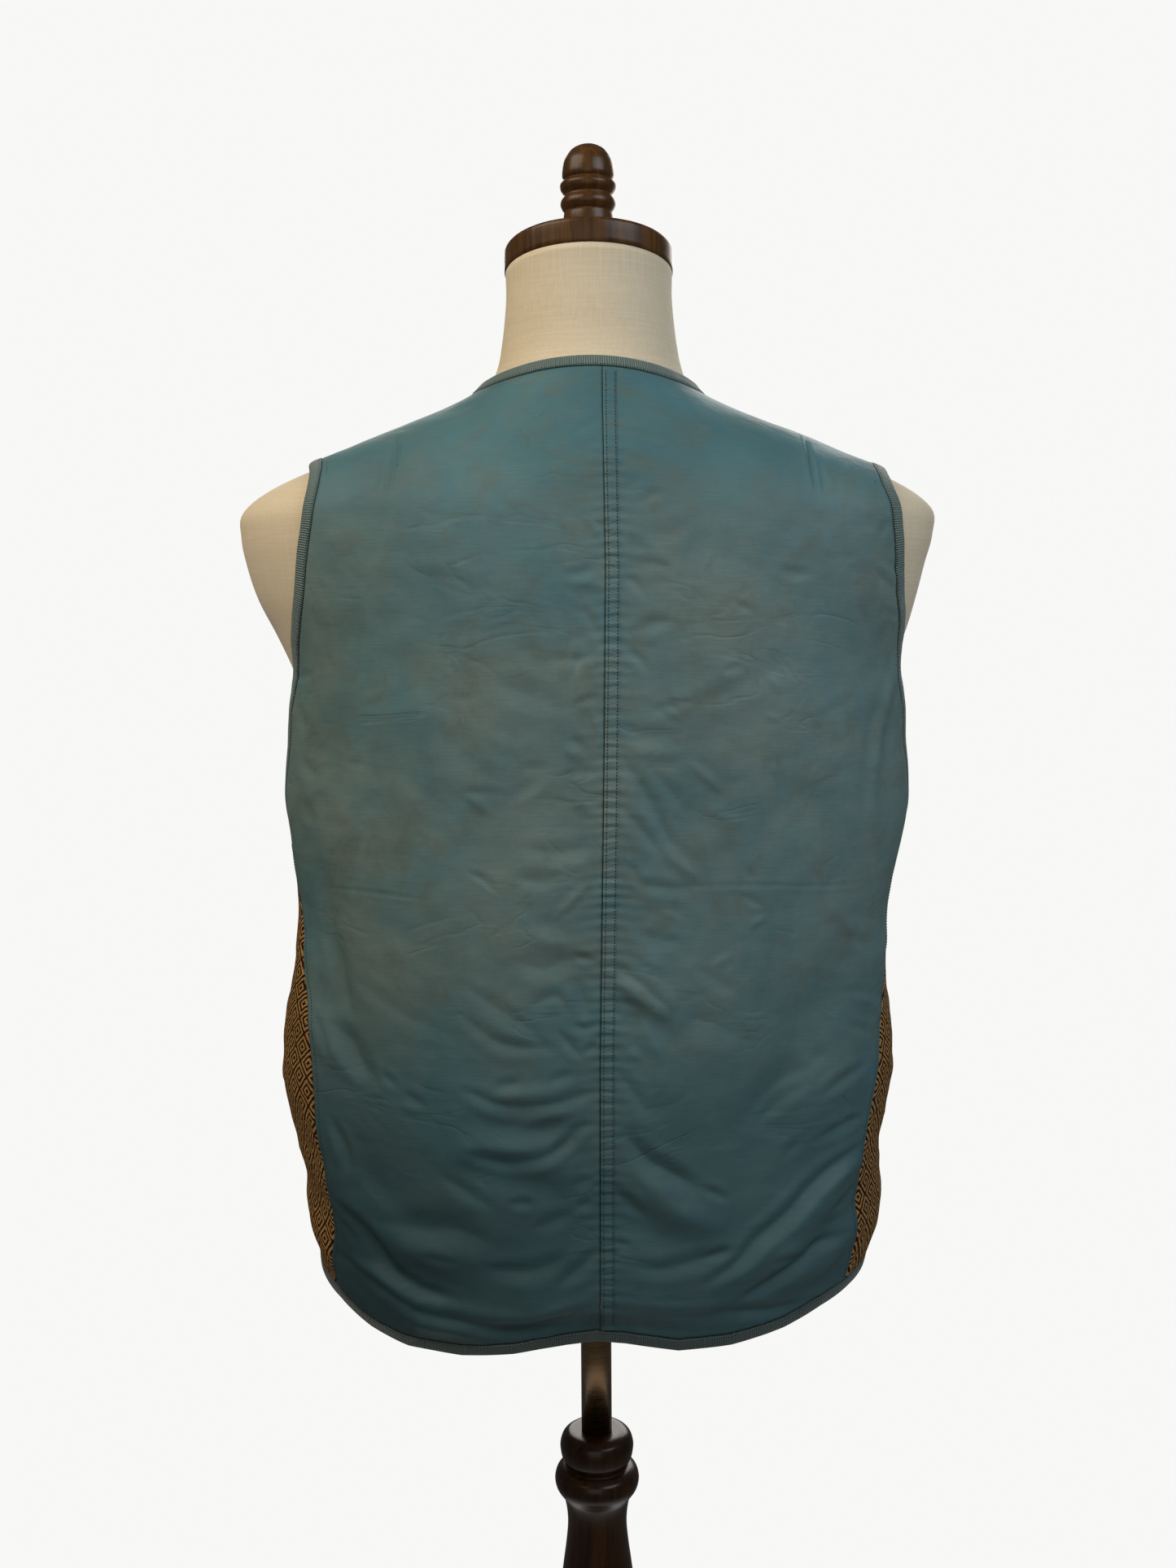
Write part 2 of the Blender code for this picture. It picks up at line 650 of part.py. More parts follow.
def front_panel(side, name):
    """One front: neckline and front edge, shoulder seam, armhole, side seam and hem."""
    arm = ARM[side]["panel"][ARM_ROWS:][::-1].copy()
    first = NECK["panel"][FRONT_LINE[side]][::-side].copy()
    seam = SEAM[side][SEAM[side][:, 1] < arm[-1, 1] - 1]
    seam = down_to_hem(np.concatenate([arm[-1:], seam]), HEM_INSET)
    first[0, 0] = arm[0, 0] = arm[-1, 0] = seam[0, 0] = side * np.pi / 2
    last = np.concatenate([arm[:-1], taken(seam, np.linspace(0, 1, FRONT_SIDE_ROWS + 1))])
    last = parted(last, side)
    first[:1] = parted(first[:1], side)
    turns = np.linspace(first[-1, 0], last[-1, 0], FRONT_COLUMNS + 1)
    bottom = np.stack([turns, hem_height(turns) + HEM_INSET], axis=1)
    top = np.linspace(first[0], last[0], FRONT_COLUMNS + 1)
    wall(name, patch(first, last, top, bottom), 0.0, -FRONT_WALL, FIGURED)
    return bottom


def form_loops():
    """Sections of the dress form from the slanting top of its neck to its rounded flat underside."""
    angle = np.linspace(0, 2 * np.pi, FORM_SEGMENTS, endpoint=False)
    heights = [row[0] for row in FORM if row[0] > TORSO_BOTTOM + TORSO_BOTTOM_ROUND]
    loops = []
    for height in heights:
        loop = form_point(angle, np.full(FORM_SEGMENTS, height))
        t = np.clip((height - NECK_LEAN_ABOVE) / (NECK_TOP - NECK_LEAN_ABOVE), 0, 1)
        loop[:, 2] += t * NECK_TILT * loop[:, 1]
        loops.append(loop)
    for turn in np.radians((0.0, 35.0, 65.0, 90.0)):
        loop = form_point(angle, np.full(FORM_SEGMENTS, TORSO_BOTTOM + TORSO_BOTTOM_ROUND))
        shrink = TORSO_BOTTOM_ROUND * (1 - math.cos(turn))
        loop[:, :2] *= 1 - shrink / np.linalg.norm(loop[:, :2], axis=1, keepdims=True)
        loop[:, 2] -= TORSO_BOTTOM_ROUND * math.sin(turn)
        loops.append(loop)
    return loops


def cap_loops():
    """The neck cap: the neck's own section, leaning as its top does, with a rounded upper edge."""
    angle = np.linspace(0, 2 * np.pi, FORM_SEGMENTS, endpoint=False)
    loops = []
    for turn in np.radians((90.0, 60.0, 30.0, 0.0)):
        loops.append((CAP_THICKNESS - CAP_ROUND * (1 - math.sin(turn)), CAP_ROUND * (1 - math.cos(turn))))
    loops.append((0.0, 0.0))
    points = []
    for rise, shrink in loops:
        x = (CAP_HALF_WIDTH - shrink) * np.sin(angle)
        y = (CAP_HALF_DEPTH - shrink) * np.cos(angle)
        points.append(np.stack([x, y, NECK_TOP + SEAM_GAP + rise + NECK_TILT * y], axis=1))
    return points


for item in list(bpy.data.objects):
    bpy.data.objects.remove(item, do_unlink=True)
COLLECTION = bpy.data.collections.new("liner_vest_on_dress_form")
bpy.context.scene.collection.children.link(COLLECTION)

SATIN = plain_material("teal_satin", (0.045, 0.115, 0.130), 0.40)
FIGURED = plain_material("figured_brown_cloth", (0.130, 0.070, 0.035), 0.90)
TAPE = plain_material("ribbed_tape", (0.075, 0.150, 0.140), 0.75)
LINEN = plain_material("cream_linen", (0.620, 0.560, 0.450), 0.90)
WALNUT = plain_material("dark_walnut", (0.060, 0.022, 0.010), 0.35)
STEEL = plain_material("steel", (0.450, 0.430, 0.400), 0.30, 1.0)

HEM_INSET = HEM_BINDING_WIDTH + SEAM_GAP
PANEL_INSET = BINDING_WIDTH + BINDING_GAP
SEAM = {side: side_seam(side) for side in (1, -1)}

# Armhole edges: the same points on the binding's outer line, its inner line and the panels' line
ARM = {}
for side in (1, -1):
    edge = armhole(side)
    under = (len(ARMHOLE_LEFT) - 1) * SPLINE_STEPS
    rows = np.linspace(0, 1, ARM_ROWS + 1)
    chosen = np.concatenate([picks(edge[: under + 1], rows), under + picks(edge[under:], rows)[1:]])
    ARM[side] = {
        "edge": edge[chosen],
        "tape": inset(edge, BINDING_WIDTH, side)[chosen],
        "panel": inset(edge, PANEL_INSET, side)[chosen],
    }

# Neck and front edges: the same three lines, from the left front's hem round the neck to the right front's
edge = neck_and_fronts()
line = inset(edge, PANEL_INSET, -1)
near_neck = np.where(edge[:, 1] > NECK_AT_SIDE - BINDING_WIDTH, 0.0, 2 * np.pi)
neck_left = int(np.argmin(np.abs(line[:, 0] - np.pi / 2) + near_neck))
neck_right = int(np.argmin(np.abs(line[:, 0] + np.pi / 2) + near_neck))
neck_back = int(np.argmin(np.abs(edge[:, 0] - centre_back(np.array([NECK_AT_BACK]))[0])))
above_hem = edge[:, 1] - hem_height(edge[:, 0])
panel_left = int(np.argmax(above_hem >= HEM_INSET))
panel_right = len(edge) - 1 - int(np.argmax(above_hem[::-1] >= HEM_INSET))
front_rows = ARM_ROWS + FRONT_SIDE_ROWS
chosen = [int(np.argmax(above_hem >= 0)), panel_left]
stretches = (
    (panel_left, neck_left, front_rows),
    (neck_left, neck_back, BACK_COLUMNS),
    (neck_back, neck_right, BACK_COLUMNS),
    (neck_right, panel_right, front_rows),
)
for low, high, count in stretches:
    chosen += list(low + picks(edge[low : high + 1], np.linspace(0, 1, count + 1))[1:])
chosen.append(len(edge) - 1 - int(np.argmax(above_hem[::-1] >= 0)))
NECK = {"edge": edge[chosen], "tape": inset(edge, BINDING_WIDTH, -1)[chosen], "panel": line[chosen]}
start = 1 + front_rows
middle = start + BACK_COLUMNS
end = middle + BACK_COLUMNS
FRONT_LINE = {1: slice(1, start + 1), -1: slice(end, end + front_rows + 1)}
BACK_NECK = {1: slice(start, middle + 1), -1: slice(middle, end + 1)}

# Panels
left_seam, left_hem = back_panel(1, "back_left")
right_seam, right_hem = back_panel(-1, "back_right")
left_front_hem = front_panel(1, "front_left")
right_front_hem = front_panel(-1, "front_right")

# Bindings
proud, behind = BINDING_PROUD, -FRONT_WALL
for side, name in ((1, "armhole_binding_left"), (-1, "armhole_binding_right")):
    loop = np.stack([ARM[side]["edge"], ARM[side]["tape"]], axis=1)[:-1]
    wall(name, loop, proud, behind, TAPE, ring=True)
wall("neck_and_front_binding", np.stack([NECK["edge"], NECK["tape"]], axis=1), proud, behind, TAPE)
turns = np.concatenate([
    left_front_hem[:-1, 0],
    left_hem[::-1, 0][:-1],
    centre_back(np.array([HEM[0][1]])),
    right_hem[1:, 0],
    right_front_hem[::-1, 0][1:],
])
low = np.stack([turns, hem_height(turns)], axis=1)
wall("hem_binding", np.stack([low, low + (0, HEM_BINDING_WIDTH)], axis=1), proud, behind, TAPE)

# Felled strip beside the centre back seam, and the two shoulder darts
radius = np.linalg.norm(vest_base(right_seam[:, 0], right_seam[:, 1])[:, :2], axis=1)
right_seam[0, 1] -= STRIP_LIFT
far_side = right_seam - np.stack([STRIP_WIDTH / radius, 0 * radius], axis=1)
strip = np.stack([right_seam, far_side], axis=1)
wall("back_seam_strip", strip, STRIP_LIFT + STRIP_WALL, STRIP_LIFT, SATIN)
for name, path in DARTS:
    side = 1 if path[0][0] > 0 else -1
    line = np.array([(turn_at(height, away, 0, side * np.pi / 2), height) for away, height in path])
    fold = np.stack([line, inset(line, DART_WIDTH, side)], axis=1)
    wall(name, fold, DART_LIFT + DART_WALL, DART_LIFT, SATIN)

# Dress form and stand
rings("form_torso", form_loops(), LINEN)
rings("neck_cap", cap_loops(), WALNUT)
turned("finial", FINIAL, WALNUT, lean_below=FINIAL_LEAN_BELOW)
turned("pole", ((TORSO_BOTTOM - SEAM_GAP, POLE_RADIUS), (POLE_BOTTOM, POLE_RADIUS)), STEEL)
turned("turned_column", COLUMN, WALNUT)
base = []
for turn in np.radians((90.0, 60.0, 30.0, 0.0)):
    fall, shrink = BASE_ROUND * (1 - math.sin(turn)), BASE_ROUND * (1 - math.cos(turn))
    base.append((BASE_THICKNESS - fall, BASE_RADIUS - shrink))
base += [(BASE_CHAMFER, BASE_RADIUS), (0.0, BASE_RADIUS - BASE_CHAMFER)]
turned("base_disc", base, WALNUT)
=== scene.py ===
"""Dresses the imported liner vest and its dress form: satin, figured cloth, ribbed tape, linen, walnut and steel.

Lengths in tables are millimetres and angles degrees. Angles round the body start at the centre back and grow
towards the wearer's left, so that the left side is 90 and the centre front 180.
"""

import math

import bmesh
import bpy
import numpy as np
from mathutils import Matrix, Vector


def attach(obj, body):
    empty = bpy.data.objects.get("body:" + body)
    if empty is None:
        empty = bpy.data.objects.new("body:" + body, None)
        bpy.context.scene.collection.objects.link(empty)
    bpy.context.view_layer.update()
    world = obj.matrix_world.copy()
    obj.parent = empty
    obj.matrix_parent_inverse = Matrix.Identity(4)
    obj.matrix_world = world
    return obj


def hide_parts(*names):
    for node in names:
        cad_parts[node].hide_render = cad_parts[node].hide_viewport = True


bl_info = {
    "name": "Liner vest on dress form",
    "version": (1, 0, 0),
    "blender": (4, 5, 0),
    "location": "View3D > Sidebar > Liner vest",
    "description": "Dresses a liner vest, its dress form and its turned stand",
    "category": "Object",
}

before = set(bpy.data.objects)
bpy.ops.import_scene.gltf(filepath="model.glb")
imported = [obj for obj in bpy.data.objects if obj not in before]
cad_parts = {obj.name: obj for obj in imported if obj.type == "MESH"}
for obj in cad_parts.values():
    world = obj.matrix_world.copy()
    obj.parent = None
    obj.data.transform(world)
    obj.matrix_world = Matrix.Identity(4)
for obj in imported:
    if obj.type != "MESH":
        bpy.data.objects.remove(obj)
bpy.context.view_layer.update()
MM = 0.001

# Sizes of the cloth and its trim
BACK_WALL = 2.0
FRONT_WALL = 2.6
SEAT_GAP = 1.7
BINDING_GAP = 0.4
BINDING_WIDTH = 8.5
HEM_BINDING_WIDTH = 7.0
HEM_LINE = HEM_BINDING_WIDTH + 0.3
STRIP_WIDTH = 8.5
DART_WIDTH = 3.2

# Sizes of the stand
POLE_RADIUS = 11.0
POLE_BOTTOM = 700.3
TORSO_BOTTOM = 838.0
TORSO_BOTTOM_ROUND = 10.0
NECK_LEAN_ABOVE = 1470.0
NECK_TILT = math.tan(math.radians(10.0))
NECK_TOP = 1515.1
CAP_THICKNESS = 16.4
CAP_HALF_WIDTH = 56.5
CAP_HALF_DEPTH = 54.6
CAP_ROUND = 4.0
FINIAL_LEAN_BELOW = 1552.0
BASE_RADIUS = 190.0
BASE_THICKNESS = 28.0
BASE_ROUND = 7.0
STAND_GAP = 0.3

# Dress form sections: height, left, right, depth to the back, depth to the front, squareness
FORM = (
    (1515.1, 55.8, 55.8, 54.0, 54.0, 2.00),
    (1500.0, 55.6, 55.6, 54.5, 54.5, 2.00),
    (1485.0, 56.8, 56.8, 56.5, 56.0, 2.00),
    (1468.0, 59.0, 59.0, 60.0, 58.5, 2.00),
    (1455.0, 61.5, 61.5, 65.0, 61.0, 2.00),
    (1447.0, 64.5, 64.0, 70.0, 63.5, 2.00),
    (1439.0, 69.8, 68.0, 75.0, 66.0, 2.00),
    (1431.0, 78.5, 75.5, 79.5, 69.5, 2.00),
    (1422.0, 97.5, 94.0, 84.5, 73.5, 2.00),
    (1411.0, 125.0, 119.5, 90.0, 79.0, 2.03),
    (1400.0, 151.0, 147.0, 95.5, 85.0, 2.08),
    (1390.0, 175.5, 171.5, 100.0, 90.0, 2.14),
    (1381.0, 198.5, 195.0, 103.5, 94.5, 2.18),
    (1371.0, 219.0, 215.0, 107.0, 99.0, 2.22),
    (1358.0, 234.5, 230.5, 111.0, 104.0, 2.26),
    (1341.0, 236.0, 231.0, 114.5, 109.0, 2.30),
    (1322.0, 232.5, 226.0, 117.0, 113.0, 2.30),
    (1300.0, 225.5, 220.5, 118.5, 116.5, 2.30),
    (1276.0, 213.5, 213.5, 119.0, 118.5, 2.30),
    (1250.0, 202.0, 203.0, 118.5, 119.0, 2.30),
    (1215.0, 193.0, 193.0, 117.0, 118.0, 2.30),
    (1170.0, 186.0, 186.0, 114.0, 115.0, 2.30),
    (1115.0, 177.0, 177.0, 108.0, 110.0, 2.28),
    (1060.0, 168.0, 168.0, 102.0, 105.0, 2.25),
    (1005.0, 163.0, 163.0, 99.5, 102.0, 2.22),
    (950.0, 165.0, 165.0, 103.0, 102.0, 2.22),
    (900.0, 169.0, 169.0, 108.0, 102.0, 2.24),
    (865.0, 171.5, 171.5, 110.0, 101.0, 2.25),
    (845.0, 171.0, 171.0, 109.5, 99.5, 2.25),
    (790.0, 168.0, 168.0, 105.0, 95.0, 2.25),
)

# Vest sections below the shoulder blades, with the same columns
VEST = (
    (1330.0, 213.0, 218.0, 121.5, 119.5, 2.34),
    (1292.0, 210.0, 217.0, 124.0, 122.5, 2.36),
    (1258.0, 208.5, 215.5, 125.5, 124.5, 2.38),
    (1208.0, 208.0, 214.5, 126.5, 126.0, 2.40),
    (1157.0, 209.0, 215.5, 127.0, 127.0, 2.42),
    (1122.0, 205.5, 209.5, 127.5, 127.5, 2.42),
    (1088.0, 203.5, 204.0, 128.0, 128.0, 2.42),
    (1053.0, 206.0, 203.0, 129.0, 128.5, 2.42),
    (1018.0, 213.0, 204.5, 130.0, 129.0, 2.40),
    (983.0, 217.0, 208.0, 131.0, 129.5, 2.38),
    (947.0, 212.5, 202.5, 132.5, 130.0, 2.36),
    (929.0, 208.5, 199.5, 133.0, 130.2, 2.35),
    (911.0, 204.5, 200.5, 134.0, 130.5, 2.34),
    (875.0, 200.0, 199.5, 135.0, 131.0, 2.32),
    (839.0, 194.0, 189.5, 135.0, 131.0, 2.30),
    (790.0, 186.0, 179.5, 133.0, 130.0, 2.30),
)
REST_ABOVE = 1305.0
HANG_BELOW = 1225.0
PUSH_WIDTH = 4.0

# Centre back seam: height, how far to the wearer's right it lies
CENTRE_BACK = (
    (1460.0, 8.0), (1417.0, 8.3), (1315.0, 9.4), (1167.0, 6.9), (1013.0, 4.0), (853.0, 3.0), (790.0, 3.0),
)

# Armholes: height, degrees behind the side, degrees before the side
ARMHOLE_LEFT = (
    (1387.0, 0.0, 0.0), (1385.8, 6.5, 6.0), (1382.5, 13.0, 12.0), (1375.0, 19.4, 17.5), (1362.0, 23.0, 22.0),
    (1343.0, 23.9, 24.5), (1308.0, 22.3, 25.0), (1288.0, 19.8, 23.5), (1268.0, 16.4, 21.0), (1234.0, 12.3, 17.0),
    (1200.0, 10.0, 13.0), (1172.0, 7.0, 8.6), (1155.0, 3.3, 3.9), (1150.0, 0.0, 0.0),
)
ARMHOLE_RIGHT = (
    (1382.0, 0.0, 0.0), (1380.8, 6.0, 6.0), (1377.0, 12.0, 12.0), (1371.0, 16.0, 16.5), (1361.0, 18.6, 20.5),
    (1341.0, 19.1, 23.5), (1306.0, 16.9, 24.0), (1286.0, 14.2, 22.5), (1264.0, 11.8, 20.0), (1231.0, 10.6, 16.0),
    (1200.0, 8.9, 12.5), (1172.0, 6.2, 8.2), (1155.0, 3.0, 3.7), (1150.0, 0.0, 0.0),
)

# Side seams: height, degrees behind the side on the left and on the right
SIDE_SEAM = (
    (1150.0, 0.0, 0.0), (1125.0, 6.5, 3.2), (1098.0, 12.4, 6.2), (1060.0, 17.4, 10.6), (1027.0, 21.6, 15.8),
    (990.0, 23.8, 19.9), (955.0, 24.5, 21.9), (920.0, 24.8, 23.2), (890.0, 24.2, 24.3), (862.0, 23.0, 24.2),
    (836.0, 20.6, 24.4), (790.0, 17.0, 24.6),
)

# Front neckline and edge: height, distance from the centre front
FRONT_EDGE = (
    (1433.5, 74.0), (1426.0, 72.5), (1414.0, 69.0), (1392.0, 61.0), (1360.0, 49.0), (1320.0, 35.0), (1280.0, 21.5),
    (1250.0, 13.0), (1228.0, 9.8), (1208.0, 9.0), (1180.0, 9.0), (1130.0, 9.0), (1050.0, 9.0), (960.0, 9.0),
    (890.0, 9.0), (845.0, 9.0), (815.0, 9.0), (790.0, 9.0),
)

# Hem: angle from the centre back to either side, height on the left, height on the right
HEM = (
    (0.0, 830.0, 830.0), (8.0, 827.3, 828.0), (22.0, 820.5, 821.8), (35.0, 816.7, 823.0), (48.0, 817.0, 828.0),
    (58.0, 822.5, 835.0), (68.0, 831.5, 839.0), (90.0, 841.0, 842.0), (115.0, 830.0, 830.0), (145.0, 820.0, 820.0),
    (180.0, 814.0, 814.0),
)
HEM_AT_SEAM = HEM[0][1]
NECK_AT_BACK = 1449.4
NECK_AT_SIDE = 1438.8
NECK_POINTS = 11

# Folds of the back, which the solids have too: path as (towards the left, height), half width, rise
FOLDS = (
    (((178, 1135), (172, 1082), (167, 1040), (145, 981)), 15.0, -5.0),
    (((190, 975), (160, 915), (120, 888), (80, 882)), 13.0, 5.5),
    (((184, 925), (150, 868), (110, 842), (55, 832)), 12.0, 6.0),
    (((186, 880), (165, 850), (120, 828)), 10.0, 4.5),
    (((-182, 948), (-125, 890), (-70, 860)), 13.0, 6.5),
    (((-178, 892), (-145, 868), (-100, 850)), 10.0, 5.0),
    (((-150, 1065), (-129, 1013), (-108, 955)), 17.0, -4.0),
    (((-14, 945), (-50, 915), (-85, 902)), 11.0, 4.0),
    (((-14, 1066), (-50, 1040)), 9.0, 3.0),
    (((8, 986), (75, 986)), 9.0, 3.0),
    (((8, 940), (60, 958), (96, 952)), 10.0, 3.0),
)
FOLD_FOOT_DEPTH = 0.4
FOLD_FOOT_AWAY = 1.7
SIDE_FADE = 40.0

